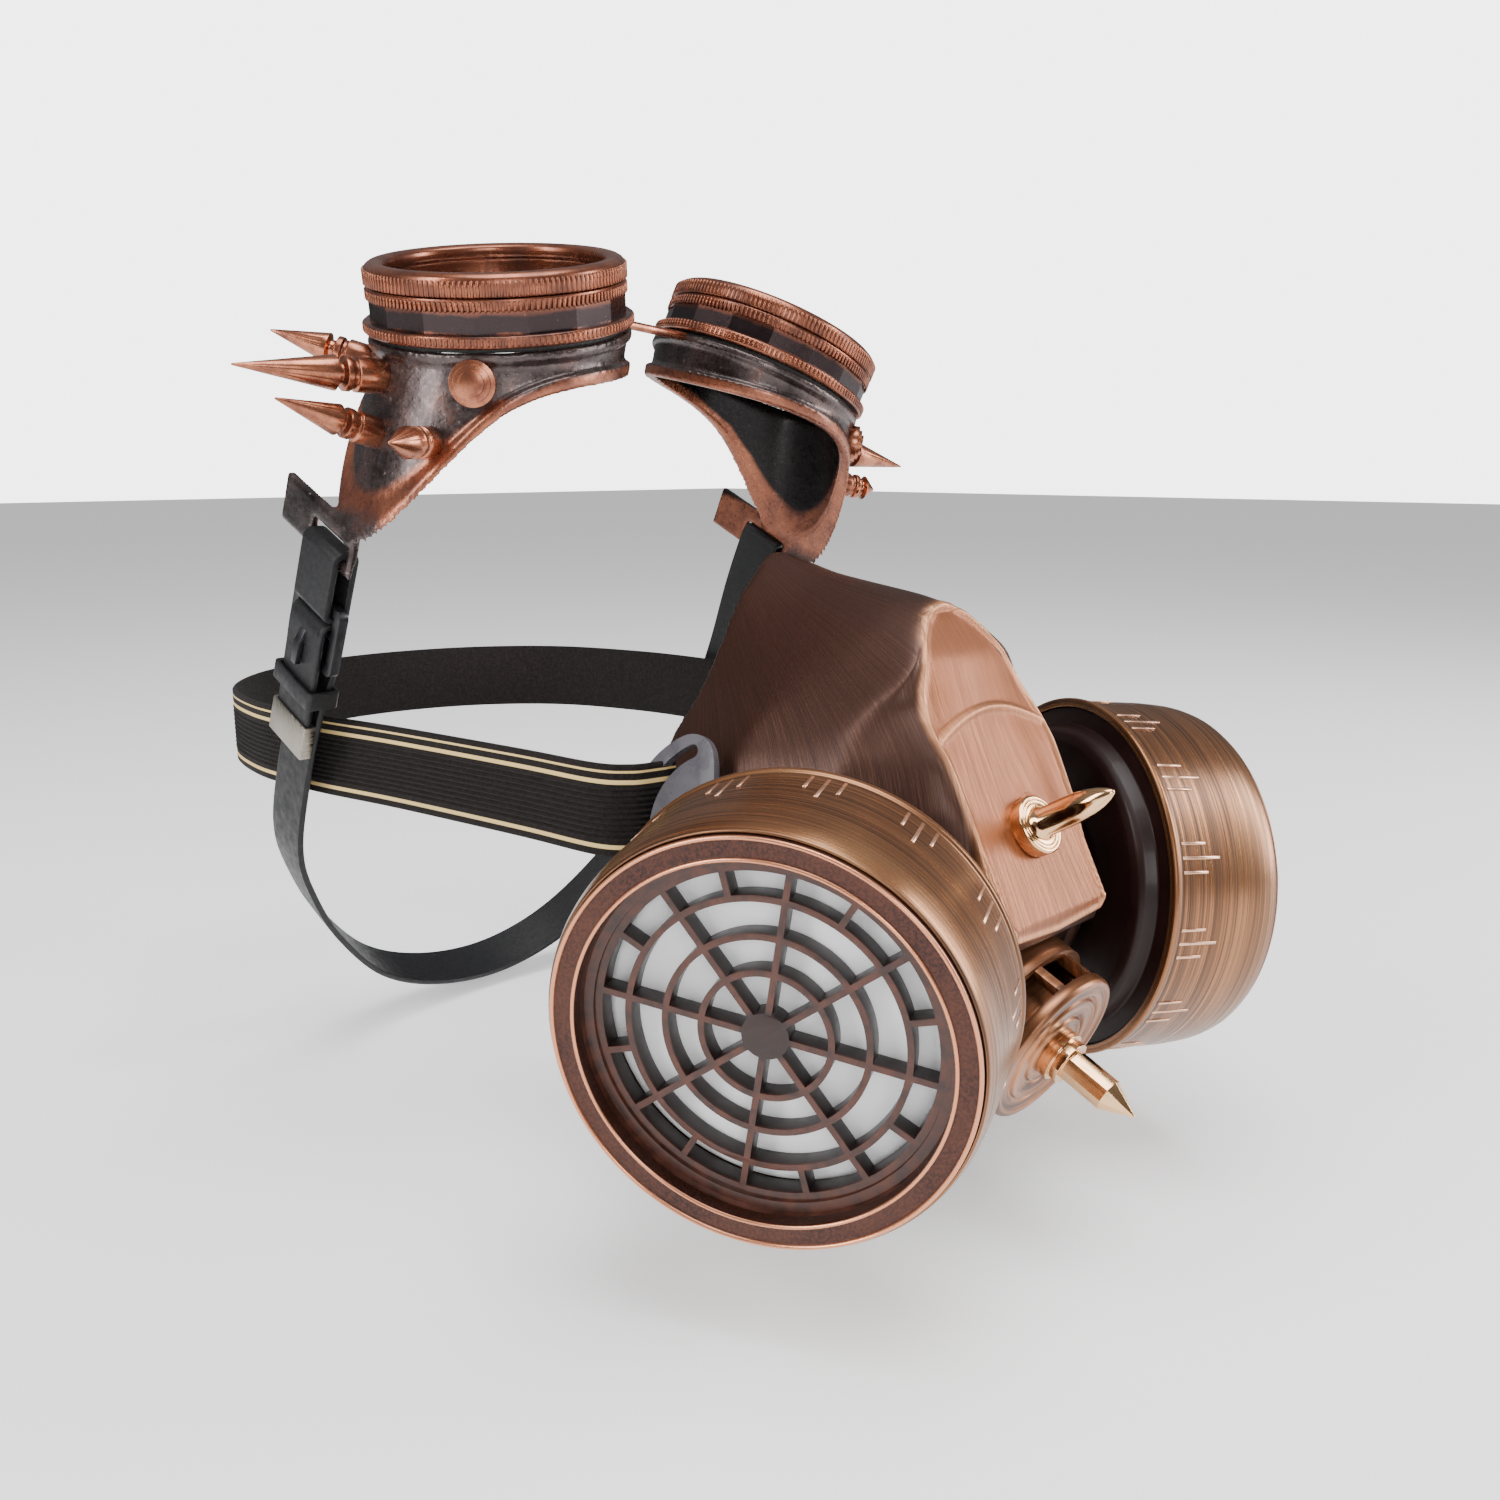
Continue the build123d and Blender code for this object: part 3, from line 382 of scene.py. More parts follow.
shell.data.vertices.foreach_set("co", ((places + normals * rise[:, None]) * MM).ravel())
depth_in = np.where(within, to_edge, -to_edge)
set_values(shell.data, "panel", outside * (depth_in + 0.6) / 1.4)
set_values(shell.data, "rolled", facing * np.maximum(edge_rise, ridge_rise * 0.8) * 0.9)
SHELL_PAINT = shell_material()
finish_piece(shell, SHELL_PAINT, "mask", "dark_copper_plastic", "mask_shell")

# ------------------------------------------------------------------ front spike
# A bullet stud in polished rose gold screws through a round washer in the panel, with
# plain turned grooves. A steel nut holds it from inside.
SPIKE_AT, SPIKE_TILT = (0, -147.1, -2.8), 31.0
ROSE_GOLD = (0.82, 0.50, 0.26, 1)
ROSE_SHADE = (0.42, 0.20, 0.085, 1)
TURN_STEPS = 128


def frame_at(origin, x_way, z_way):
    """Place of a piece from its middle in mm, its X and its Z."""
    z = Vector(z_way).normalized()
    x = Vector(x_way)
    x = (x - z * x.dot(z)).normalized()
    y = z.cross(x)
    place = Matrix((x, y, z)).transposed().to_4x4()
    place.translation = Vector(origin) * MM
    return place


def from_middle(at, tilt):
    lean = math.radians(tilt)
    return frame_at(at, (1, 0, 0), (0, -math.cos(lean), math.sin(lean)))


def rounded(outline, radius, steps=3):
    """An outline with its corners rounded off; corners on the axis stay."""
    made = []
    for i, corner in enumerate(outline):
        here = Vector(corner)
        if corner[0] <= 0.0:
            made.append(tuple(here))
            continue
        before = Vector(outline[i - 1]) - here
        after = Vector(outline[(i + 1) % len(outline)]) - here
        cut = min(radius, 0.42 * before.length, 0.42 * after.length)
        if before.length < 1e-6 or after.length < 1e-6 or before.angle(after) > math.radians(168):
            made.append(tuple(here))
            continue
        a, b = here + before.normalized() * cut, here + after.normalized() * cut
        for k in range(steps + 1):
            t = k / steps
            made.append(tuple(a * (1 - t) ** 2 + here * 2 * t * (1 - t) + b * t * t))
    return made


def turned(name, place, outline, steps=TURN_STEPS, sharp=40):
    """A piece turned about its own Z from a closed outline of (radius, height) in mm."""
    form = bmesh.new()
    rings = []
    for radius, height in outline:
        if radius <= 1e-6:
            rings.append([form.verts.new((0, 0, height * MM))])
        else:
            rings.append([form.verts.new((radius * MM * math.cos(2 * math.pi * k / steps),
                                          radius * MM * math.sin(2 * math.pi * k / steps), height * MM))
                          for k in range(steps)])
    for one, two in zip(rings, rings[1:] + rings[:1]):
        if len(one) == 1 and len(two) == 1:
            continue
        for k in range(steps):
            corners = [one[k % len(one)], one[(k + 1) % len(one)], two[(k + 1) % len(two)], two[k % len(two)]]
            form.faces.new(list(dict.fromkeys(corners)))
    bmesh.ops.recalc_face_normals(form, faces=form.faces)
    form.transform(place)
    mesh = bpy.data.meshes.new(name)
    form.to_mesh(mesh)
    form.free()
    made = bpy.data.objects.new(name, mesh)
    bpy.context.scene.collection.objects.link(made)
    mesh.shade_smooth()
    mesh.set_sharp_from_angle(angle=math.radians(sharp))
    return made


def around_group():
    """Distance along and angle round a turned piece, from coordinates mapped onto its own axis."""
    tree, given, result = group_with("around the axis", [("Vector", "Vector", None), ("Wrap", "Float", 0.03)],
                                     [("Strokes", "Vector"), ("Height", "Float"), ("Radius", "Float")])
    parts = join(tree, "ShaderNodeSeparateXYZ", {0: given["Vector"]}).outputs
    flat = join(tree, "ShaderNodeCombineXYZ", {"X": parts[0], "Y": parts[1]}).outputs[0]
    radius = join(tree, "ShaderNodeVectorMath", {0: flat}, operation="LENGTH").outputs["Value"]
    way = join(tree, "ShaderNodeVectorMath", {0: flat}, operation="NORMALIZE").outputs[0]
    round_way = join(tree, "ShaderNodeVectorMath", {0: way}, operation="SCALE")
    tree.links.new(given["Wrap"], round_way.inputs["Scale"])
    turned_parts = join(tree, "ShaderNodeSeparateXYZ", {0: round_way.outputs[0]}).outputs
    across = join(tree, "ShaderNodeCombineXYZ",
                  {"X": turned_parts[0], "Y": summed(tree, parts[2], radius),
                   "Z": summed(tree, turned_parts[1], 0.012, "MULTIPLY")}).outputs[0]
    tree.links.new(across, result["Strokes"])
    tree.links.new(parts[2], result["Height"])
    tree.links.new(radius, result["Radius"])
    return tree


AROUND = around_group()


def own_axis(tree, place, wrap=0.03):
    """Coordinates on a turned piece's own axis."""
    where = object_space(tree)
    back = place.inverted()
    mapping = join(tree, "ShaderNodeMapping", {"Vector": where, "Location": back.translation,
                                               "Rotation": back.to_euler("XYZ")})
    return placed_group(tree, AROUND, {"Vector": mapping.outputs[0], "Wrap": wrap})


def rose_gold(place, name):
    """Polished plating, with faint turning lines."""
    material, tree, shader = new_material(name, ROSE_GOLD, 0.1, 1.0)
    turn = own_axis(tree, place)
    lines = noise(tree, turn["Strokes"], 2600.0, 1.0)
    smear = noise(tree, turn["Strokes"], 260.0, 3.0)
    colored(tree, shader, mixed(tree, spread(tree, smear, 0.5, 0.8), ROSE_GOLD, ROSE_SHADE))
    roughened(tree, shader, spread(tree, smear, 0.3, 0.7, 0.06, 0.2))
    bumped(tree, shader, lines, 0.06, 0.0001)
    return material


SPIKE_PLACE = from_middle(SPIKE_AT, SPIKE_TILT)
SPIKE_GOLD = rose_gold(SPIKE_PLACE, "polished rose gold")
bullet = [(0, -8.9), (1.85, -8.9), (1.85, 3.5), (4.2, 3.5), (3.9, 4.4), (3.4, 5.2), (3.4, 12.7), (3.25, 15.4),
          (2.85, 18.0), (2.2, 20.4), (1.35, 22.4), (0.6, 23.6), (0.0, 24.0)]
ride_with_paint(turned("bullet_stud", SPIKE_PLACE, bullet, 64, 60), SPIKE_GOLD, "mask", "rose_gold",
                "front_spike")
washer = rounded([(1.9, 0.02), (7.0, 0.02), (7.0, 3.1), (6.6, 3.5), (6.05, 3.5), (5.9, 3.3), (5.75, 3.5),
                  (5.2, 3.5), (5.05, 3.32), (4.9, 3.5), (1.9, 3.5)], 0.12, 2)
ride_with_paint(turned("spike_washer", SPIKE_PLACE, washer, 96, 50), SPIKE_GOLD, "mask", "rose_gold",
                "front_spike_washer")
steel, tree, shader = new_material("satin steel", (0.5, 0.5, 0.5, 1), 0.32, 1.0)
where = object_space(tree)
scuff = noise(tree, where, 700.0, 3.0)
roughened(tree, shader, spread(tree, scuff, 0.3, 0.7, 0.22, 0.48))
colored(tree, shader, mixed(tree, scuff, (0.36, 0.36, 0.37, 1), (0.6, 0.6, 0.6, 1)))
repaint("front_spike_nut", steel)

# ------------------------------------------------------------------ exhale vent
# A short copper tube under the lip. Ribs carry a grooved disc in front of it, and the gap
# lets the breath out past a rubber flap. A turned spike with a faceted point screws into it.
VENT_PLACE = from_middle((0, -156.1, -54.0), -24.0)
VENT_COPPER = (0.36, 0.145, 0.062, 1)
VENT_BROWN = (0.085, 0.034, 0.017, 1)


def edged(node, name, material, body, slot, width, sharp=32, steps=2):
    """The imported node's form with its sharp edges broken."""
    made = merged_copy(node, name)
    edge = made.modifiers.new("broken edges", "BEVEL")
    edge.width = width * MM
    edge.segments = steps
    edge.limit_method = "ANGLE"
    edge.angle_limit = math.radians(28)
    edge.harden_normals = False
    settled(made)
    made.data.materials.clear()
    made.data.shade_smooth()
    made.data.set_sharp_from_angle(angle=math.radians(sharp))
    return ride_with_paint(made, material, body, slot, node)


def turned_copper(place, name, light, dark, bright, rough=(0.42, 0.26), fineness=1700.0):
    """Copper paint brushed while it turned, with cloudy lighter patches."""
    material, tree, shader = new_material(name, light, 0.35, 0.8, Coat_Weight=0.15, Coat_Roughness=0.25)
    turn = own_axis(tree, place, 0.02)
    brush = placed_group(tree, BRUSHING, {"Vector": turn["Strokes"], "Fineness": fineness, "Stroke": 40.0})
    tone = mixed(tree, brush["Streaks"], dark, light)
    colored(tree, shader, mixed(tree, spread(tree, brush["Clouds"], 0.55, 1.0, 0, 0.5), tone, bright))
    roughened(tree, shader, spread(tree, brush["Streaks"], 0, 1, *rough))
    bumped(tree, shader, brush["Scratches"], 0.25, 0.0002)
    return material


vent_paint = turned_copper(VENT_PLACE, "turned vent copper", VENT_COPPER, VENT_BROWN, RUBBED_COPPER)
edged("vent_housing", "vent_tube", vent_paint, "mask", "brushed_copper_vent", 0.35)
disc = rounded([(0, -17.9), (12.9, -17.9), (12.9, -3), (20, -3), (20, -0.6), (19.4, 0.25), (18.4, 0.25),
                (17.8, -0.1), (15.5, -0.1), (15.1, -0.7), (14.5, -0.7), (14.1, 0.2), (13.3, 0.2),
                (12.9, 0), (10.3, 0), (9.9, -0.7), (9.3, -0.7), (8.9, 0.2), (8.1, 0.2), (7.6, 0), (0, 0)], 0.25, 2)
ride_with_paint(turned("vent_face", VENT_PLACE, disc, 160, 50), vent_paint, "mask", "copper_vent_disc",
                "vent_disc")
vent_gold = rose_gold(VENT_PLACE, "polished vent spike")
edged("vent_spike", "faceted_spike", vent_gold, "mask", "rose_gold", 0.18, 22)
rubber, tree, shader = new_material("soft black rubber", (0.018, 0.017, 0.017, 1), 0.62, 0.0)
where = object_space(tree)
skin = noise(tree, where, 2400.0, 2.0)
roughened(tree, shader, spread(tree, skin, 0.3, 0.7, 0.52, 0.74))
bumped(tree, shader, skin, 0.25, 0.0001)
repaint("vent_valve_flap", rubber)

# ------------------------------------------------------------------ filter canisters
# Each canister is a turned plastic can on a threaded neck: a glossy stepped back plate, a
# brushed copper barrel with engraved gauge marks, a flat front ring with beaded edges and a
# deep web grille in front of the white filter pad.
CAN_YAW, CAN_PITCH = math.radians(64.3), math.radians(4.6)
BARREL_LIGHT = (0.34, 0.145, 0.060, 1)
BARREL_DARK = (0.070, 0.033, 0.018, 1)
BARREL_BRIGHT = (0.52, 0.27, 0.13, 1)
RING_COPPER = (0.070, 0.020, 0.011, 1)
RING_GRAIN = (0.026, 0.008, 0.005, 1)
WEB_BROWN = (0.012, 0.0042, 0.003, 1)
TICK_GROUPS = 14
TICK_START = {"right": math.radians(4.2), "left": math.radians(5.0)}
SIDES = ((-1, "right"), (1, "left"))


def canister_place(side):
    way = (side * math.sin(CAN_YAW) * math.cos(CAN_PITCH), -math.cos(CAN_YAW) * math.cos(CAN_PITCH),
           -math.sin(CAN_PITCH))
    return frame_at((side * 52.1, -125, -30), (math.cos(CAN_YAW), side * math.sin(CAN_YAW), 0), way)


def row_round_tree():
    """Geometry nodes that set copies of one item round a circle, facing outwards."""
    tree = bpy.data.node_groups.new("row round a circle", "GeometryNodeTree")
    for socket, kind in (("Geometry", "Geometry"), ("Item", "Object"), ("Count", "Int"), ("Radius", "Float"),
                         ("Start", "Float"), ("Material", "Material")):
        tree.interface.new_socket(name=socket, in_out="INPUT", socket_type="NodeSocket" + kind)
    tree.interface.new_socket(name="Geometry", in_out="OUTPUT", socket_type="NodeSocketGeometry")
    given = tree.nodes.new("NodeGroupInput").outputs
    result = tree.nodes.new("NodeGroupOutput").inputs
    circle = join(tree, "GeometryNodeMeshCircle", {"Vertices": given["Count"], "Radius": given["Radius"]})
    step = summed(tree, 2 * math.pi, given["Count"], "DIVIDE")
    index = join(tree, "GeometryNodeInputIndex").outputs[0]
    turn = summed(tree, index, step, "MULTIPLY")
    spin = join(tree, "FunctionNodeEulerToRotation",
                {0: join(tree, "ShaderNodeCombineXYZ", {"Z": turn}).outputs[0]})
    item = join(tree, "GeometryNodeObjectInfo", {"Object": given["Item"]}, transform_space="ORIGINAL")
    row = join(tree, "GeometryNodeInstanceOnPoints", {"Points": circle.outputs[0],
                                                      "Instance": item.outputs["Geometry"],
                                                      "Rotation": spin.outputs[0]})
    real = join(tree, "GeometryNodeRealizeInstances", {0: row.outputs[0]})
    start = join(tree, "FunctionNodeEulerToRotation",
                 {0: join(tree, "ShaderNodeCombineXYZ", {"Z": given["Start"]}).outputs[0]})
    whole = join(tree, "GeometryNodeTransform", {"Geometry": real.outputs[0], "Rotation": start.outputs[0]})
    paint = join(tree, "GeometryNodeSetMaterial",
                 {"Geometry": whole.outputs[0], "Material": given["Material"]})
    tree.links.new(paint.outputs[0], result["Geometry"])
    return tree


ROW_ROUND = row_round_tree()


def row_round(name, item, place, count, radius, material, start=0.0):
    """One mesh of an item repeated round a circle."""
    mesh = bpy.data.meshes.new(name)
    made = bpy.data.objects.new(name, mesh)
    bpy.context.scene.collection.objects.link(made)
    nodes = made.modifiers.new("row", "NODES")
    nodes.node_group = ROW_ROUND
    known = {socket.name: socket.identifier for socket in ROW_ROUND.interface.items_tree
             if socket.in_out == "INPUT"}
    for key, value in (("Item", item), ("Count", count), ("Radius", radius * MM), ("Start", start),
                       ("Material", material)):
        nodes[known[key]] = value
    settled(made)
    made.data.transform(place)
    return made


def bar_item(name, boxes):
    """A small item from rounded bars: each is its middle, its size and its edge."""
    form = bmesh.new()
    for (x, y, z), (dx, dy, dz), edge in boxes:
        made = bmesh.ops.create_cube(form, size=1.0, matrix=Matrix.Translation(Vector((x, y, z)) * MM)
                                     @ Matrix.Diagonal((dx * MM, dy * MM, dz * MM, 1)))
        if edge:
            edges = list({e for v in made["verts"] for e in v.link_edges})
            bmesh.ops.bevel(form, geom=edges, offset=edge * MM, segments=1, affect="EDGES")
    mesh = bpy.data.meshes.new(name)
    form.to_mesh(mesh)
    form.free()
    mesh.shade_smooth()
    mesh.set_sharp_from_angle(angle=math.radians(50))
    return bpy.data.objects.new(name, mesh)


def ring_material(place, word):
    """Fine grained copper paint, with the beads rubbed bright."""
    material, tree, shader = new_material("grained ring " + word, RING_COPPER, 0.42, 0.7, Coat_Weight=0.25,
                                          Coat_Roughness=0.22)
    turn = own_axis(tree, place)
    where = object_space(tree)
    grain = noise(tree, where, 1500.0, 3.0)
    patch = noise(tree, where, 60.0, 3.0)
    tone = mixed(tree, spread(tree, grain, 0.38, 0.62), RING_GRAIN, RING_COPPER)
    tone = mixed(tree, spread(tree, patch, 0.35, 0.7, 0.0, 0.45), tone, (0.11, 0.034, 0.017, 1))
    bead = spread(tree, turn["Height"], 0.0331, 0.0334)
    colored(tree, shader, mixed(tree, bead, tone, (0.66, 0.27, 0.14, 1)))
    roughened(tree, shader, spread(tree, bead, 0, 1, 0.46, 0.2))
    bumped(tree, shader, grain, 0.3, 0.00012)
    return material


def web_material(place, word):
    """Dark glossy plastic with copper dusted on the front edges of the blades."""
    material, tree, shader = new_material("dusted web " + word, WEB_BROWN, 0.36, 0.2, Coat_Weight=0.1,
                                          Coat_Roughness=0.15)
    turn = own_axis(tree, place)
    where = object_space(tree)
    dust = noise(tree, where, 300.0, 3.0)
    front = spread(tree, turn["Height"], 0.0268, 0.0274)
    dusted = summed(tree, front, spread(tree, dust, 0.3, 0.7, 0.2, 1.0), "MULTIPLY")
    off_hub = spread(tree, turn["Radius"], 0.0052, 0.0062, 0.15, 1.0)
    dusted = summed(tree, dusted, off_hub, "MULTIPLY")
    colored(tree, shader, mixed(tree, dusted, WEB_BROWN, (0.085, 0.026, 0.014, 1)))
    roughened(tree, shader, spread(tree, dust, 0.3, 0.7, 0.3, 0.46))
    return material


black_gloss, tree, shader = new_material("glossy dark maroon", (0.012, 0.004, 0.0035, 1), 0.42, 0.0,
                                         Specular_IOR_Level=0.25, Coat_Weight=0.06, Coat_Roughness=0.08)
where = object_space(tree)
film = noise(tree, where, 90.0, 5.0)
roughened(tree, shader, spread(tree, film, 0.3, 0.7, 0.34, 0.48))
colored(tree, shader, mixed(tree, film, (0.008, 0.0028, 0.0024, 1), (0.018, 0.0055, 0.0045, 1)))
moulded_black, tree, shader = new_material("moulded black plastic", (0.02, 0.017, 0.016, 1), 0.42, 0.0)
where = object_space(tree)
spark = noise(tree, where, 1800.0, 2.0)
roughened(tree, shader, spread(tree, spark, 0.3, 0.7, 0.34, 0.54))
bumped(tree, shader, spark, 0.15, 0.0001)
# The felt has a faint emission: a painted glow that makes the pad brighter than the lamps alone would.
glowing_filter_white, tree, shader = new_material("white filter felt with painted glow", (0.95, 0.955, 0.96, 1), 0.9, 0.0,
                                          Sheen_Weight=0.3, Emission_Color=(1, 1, 1, 1),
                                          Emission_Strength=0.14)
where = object_space(tree)
fibre = noise(tree, where, 900.0, 6.0)
colored(tree, shader, mixed(tree, fibre, (0.88, 0.89, 0.90, 1), (0.97, 0.975, 0.98, 1)))
bumped(tree, shader, fibre, 0.5, 0.0003)
tick_copper, tree, shader = new_material("scribed bright copper", (0.86, 0.50, 0.33, 1), 0.3, 0.9)
where = object_space(tree)
scribe = noise(tree, where, 1500.0, 2.0)
colored(tree, shader, mixed(tree, scribe, (0.60, 0.30, 0.19, 1), (0.95, 0.60, 0.42, 1)))

barrel = rounded([(45.2, 0.0), (47.4, 0.0), (47.6, 0.9), (47.4, 1.7), (46.95, 2.1), (46.8, 3.0), (46.6, 21.0),
                  (46.3, 25.5), (46.05, 28.0), (45.7, 29.8), (45.2, 31.5), (44.9, 32.3), (44.35, 32.4),
                  (44.35, 30.0), (43.4, 25.5), (45.2, 2.6)], 0.35, 3)
front_ring = rounded([(38.7, 30.0), (44.2, 30.0), (44.2, 33.0), (44.15, 33.5), (43.75, 33.75), (43.3, 33.5),
                      (43.15, 33.0), (39.75, 33.0), (39.6, 33.4), (39.2, 33.6), (38.8, 33.35),
                      (38.7, 32.9)], 0.2, 3)
back_plate = rounded([(16.1, -4.7), (36.5, -4.7), (38.6, -3.9), (39.7, -2.6), (40.6, 0.4), (45.1, 0.6),
                      (45.1, 2.6), (38.5, 2.6), (36.5, -2.6), (20.0, -2.6), (20.0, 0.8), (16.1, 0.8)], 0.5, 3)
pad = rounded([(0, 6.1), (34.5, 6.1), (36.3, 8.0), (36.3, 20.9), (34.5, 22.4), (20.0, 22.55), (0, 22.6)],
              1.4, 4)
tick = bar_item("gauge_marks", [((0, -3.5, 6.6), (0.3, 0.7, 7.0), 0.07),
                                ((0, 0, 8.5), (0.3, 0.75, 10.8), 0.07),
                                ((0, 3.5, 6.6), (0.3, 0.7, 7.0), 0.07)])
for side, word in SIDES:
    place = canister_place(side)
    ride_with_paint(turned("dish_" + word, place, back_plate, 192, 40), black_gloss, "canister_" + word,
                    "black_gloss", "back_plate_" + word)
    barrel_paint = turned_copper(place, "brushed barrel " + word, BARREL_LIGHT, BARREL_DARK, BARREL_BRIGHT,
                                 (0.38, 0.24), 5200.0)
    ride_with_paint(turned("barrel_" + word, place, barrel, 256, 40), barrel_paint, "canister_" + word,
                    "brushed_copper", "canister_barrel_" + word)
    ride_with_paint(turned("face_ring_" + word, place, front_ring, 256, 50), ring_material(place, word),
                    "front_cap_" + word, "copper_ring", "front_ring_" + word)
    edged("web_grille_" + word, "web_" + word, web_material(place, word), "front_cap_" + word,
          "black_plastic_web", 0.22)
    felt = turned("filter_felt_" + word, place, pad, 96, 60)
    ride_with_paint(felt, glowing_filter_white, "canister_" + word, "white_filter", "filter_pad_" + word)
    marks = row_round("gauge_marks_" + word, tick, place, TICK_GROUPS, 46.7, tick_copper, TICK_START[word])
    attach(marks, "canister_" + word)
    repaint("canister_neck_" + word, moulded_black)
    repaint("neck_nut_" + word, moulded_black)

# ------------------------------------------------------------------ head band and its tabs
# A 22 mm ribbed elastic in black, woven with three yellow lines, runs round the head. It
# threads through a slotted tab of smoky plastic at each side, whose feet sit in the shell.
BAND_PATH = ((-49, -81), (-54.5, -80.2), (-60, -78), (-64.5, -70), (-67, -45), (-73, 0), (-79, 35),
             (-80, 65), (-71, 95), (-46, 118), (-10, 126), (26, 118), (53, 96), (66, 64), (70, 32), (69, -8),
             (66.5, -45), (64.5, -70), (60, -78), (54.5, -80.2), (49, -81))
BAND_WIDTH, BAND_THICK = 22.0, 1.5
BAND_RIBS = 9


def through(points, count):
    """Points spread evenly along a curve that passes through the given ones."""
    given = np.array(points, float)
    ends = np.concatenate([[2 * given[0] - given[1]], given, [2 * given[-1] - given[-2]]])
    line = []
    for p0, p1, p2, p3 in zip(ends, ends[1:], ends[2:], ends[3:]):
        for t in np.linspace(0, 1, 24, endpoint=False):
            line.append(0.5 * (2 * p1 + (p2 - p0) * t + (2 * p0 - 5 * p1 + 4 * p2 - p3) * t ** 2
                               + (3 * p1 - p0 - 3 * p2 + p3) * t ** 3))
    line = np.array(line + [given[-1]])
    run = np.concatenate([[0], np.cumsum(np.linalg.norm(np.diff(line, axis=0), axis=1))])
    even = np.linspace(0, run[-1], count)
    return np.stack([np.interp(even, run, line[:, k]) for k in (0, 1)], axis=1), even


def strip(name, line, run, place, section):
    """A flat strap swept along a line in the place's X and Y. The section is a closed outline
    of (outwards, across) in mm; the mesh carries how far along and across each point is."""
    ways = np.gradient(line, axis=0)
    ways /= np.linalg.norm(ways, axis=1)[:, None]
    out = np.stack([-ways[:, 1], ways[:, 0]], axis=1)
    section = np.array(section)
    many, around = len(line), len(section)
    flat = line[:, None, :] + out[:, None, :] * section[None, :, 0, None]
    corners = np.concatenate([flat, np.broadcast_to(section[None, :, 1, None], (many, around, 1))], axis=2)
    faces = [(i * around + k, i * around + (k + 1) % around, (i + 1) * around + (k + 1) % around,
              (i + 1) * around + k) for i in range(many - 1) for k in range(around)]
    faces += [tuple(range(around)), tuple((many - 1) * around + k for k in reversed(range(around)))]
    mesh = bpy.data.meshes.new(name)
    mesh.from_pydata((corners.reshape(-1, 3) * MM).tolist(), [], faces)
    for key, values in (("along", np.repeat(run, around)), ("across", np.tile(section[:, 1], many)),
                        ("lift", np.tile(section[:, 0], many))):
        layer = mesh.attributes.new(key, "FLOAT", "POINT")
        layer.data.foreach_set("value", values.astype(np.float32))
    form = bmesh.new()
    form.from_mesh(mesh)
    bmesh.ops.recalc_face_normals(form, faces=form.faces)
    form.transform(place)
    form.to_mesh(mesh)
    form.free()
    made = bpy.data.objects.new(name, mesh)
    bpy.context.scene.collection.objects.link(made)
    mesh.shade_smooth()
    mesh.set_sharp_from_angle(angle=math.radians(50))
    return made


def band_section():
    """Ribbed on the outer side between two woven borders, flat inside, round at the edges."""
    half, thick = BAND_WIDTH / 2, BAND_THICK / 2
    outer = []
    for v in np.linspace(-half + 0.5, half - 0.5, 91):
        rib = 0.0
        if -half + 4.2 < v < half - 5.6:
            rib = 0.26 * math.cos((v + half - 4.2) / (2 * half - 9.8) * 2 * math.pi * BAND_RIBS) - 0.1
        outer.append((thick + rib, v))
    return outer + [(thick * 0.5, half), (-thick * 0.5, half), (-thick, half - 0.5), (-thick, -half + 0.5),
                    (-thick * 0.5, -half), (thick * 0.5, -half)]


def band_material():
    """Black elastic: picks across it, ribs along it and three yellow warp lines."""
    material, tree, shader = new_material("ribbed black elastic", (0.01, 0.009, 0.009, 1), 0.85, 0.0,
                                          Sheen_Weight=0.04, Specular_IOR_Level=0.12)
    along = attribute(tree, "along")
    across = attribute(tree, "across")
    lift = attribute(tree, "lift")
    pick = summed(tree, summed(tree, along, 9.0, "MULTIPLY"), 0.0, "SINE")
    warp = summed(tree, summed(tree, across, 16.0, "MULTIPLY"), 0.0, "SINE")
    weave = spread(tree, summed(tree, pick, warp, "MULTIPLY"), -1, 1)
    where = object_space(tree)
    fuzz = noise(tree, where, 1200.0, 3.0)
    thread = mixed(tree, weave, (0.002, 0.0018, 0.0018, 1), (0.018, 0.014, 0.013, 1))
    thread = mixed(tree, spread(tree, fuzz, 0.4, 0.8, 0.0, 0.5), thread, (0.035, 0.028, 0.025, 1))
    lines = None
    for middle, half in ((9.35, 0.22), (6.9, 0.46), (-8.6, 0.46)):
        off = summed(tree, summed(tree, across, middle, "SUBTRACT"), 0.0, "ABSOLUTE")
        line = spread(tree, off, half, half + 0.12, 1.0, 0.0)
        lines = line if lines is None else summed(tree, lines, line)
    lines = summed(tree, lines, spread(tree, lift, 0.1, 0.3), "MULTIPLY")
    yellow = mixed(tree, weave, (0.62, 0.40, 0.12, 1), (0.93, 0.72, 0.36, 1))
    colored(tree, shader, mixed(tree, lines, thread, yellow))
    bumped(tree, shader, weave, 0.6, 0.0002)
    return material


band_line, band_run = through(BAND_PATH, 620)
band = strip("ribbed_elastic", band_line, band_run, Matrix.Identity(4), band_section())
ride_with_paint(band, band_material(), "mask", "elastic", "elastic_band")
smoky, tree, shader = new_material("smoky translucent plastic", (0.30, 0.28, 0.31, 1), 0.28, 0.0,
                                   Transmission_Weight=0.35, IOR=1.46)
where = object_space(tree)
haze = noise(tree, where, 150.0, 4.0)
colored(tree, shader, mixed(tree, haze, (0.085, 0.08, 0.092, 1), (0.17, 0.16, 0.18, 1)))
roughened(tree, shader, spread(tree, haze, 0.3, 0.7, 0.2, 0.42))
for side, word in SIDES:
    edged("strap_tab_" + word, "slotted_tab_" + word, smoky, "mask", "smoky_plastic", 0.6, 40, 3)

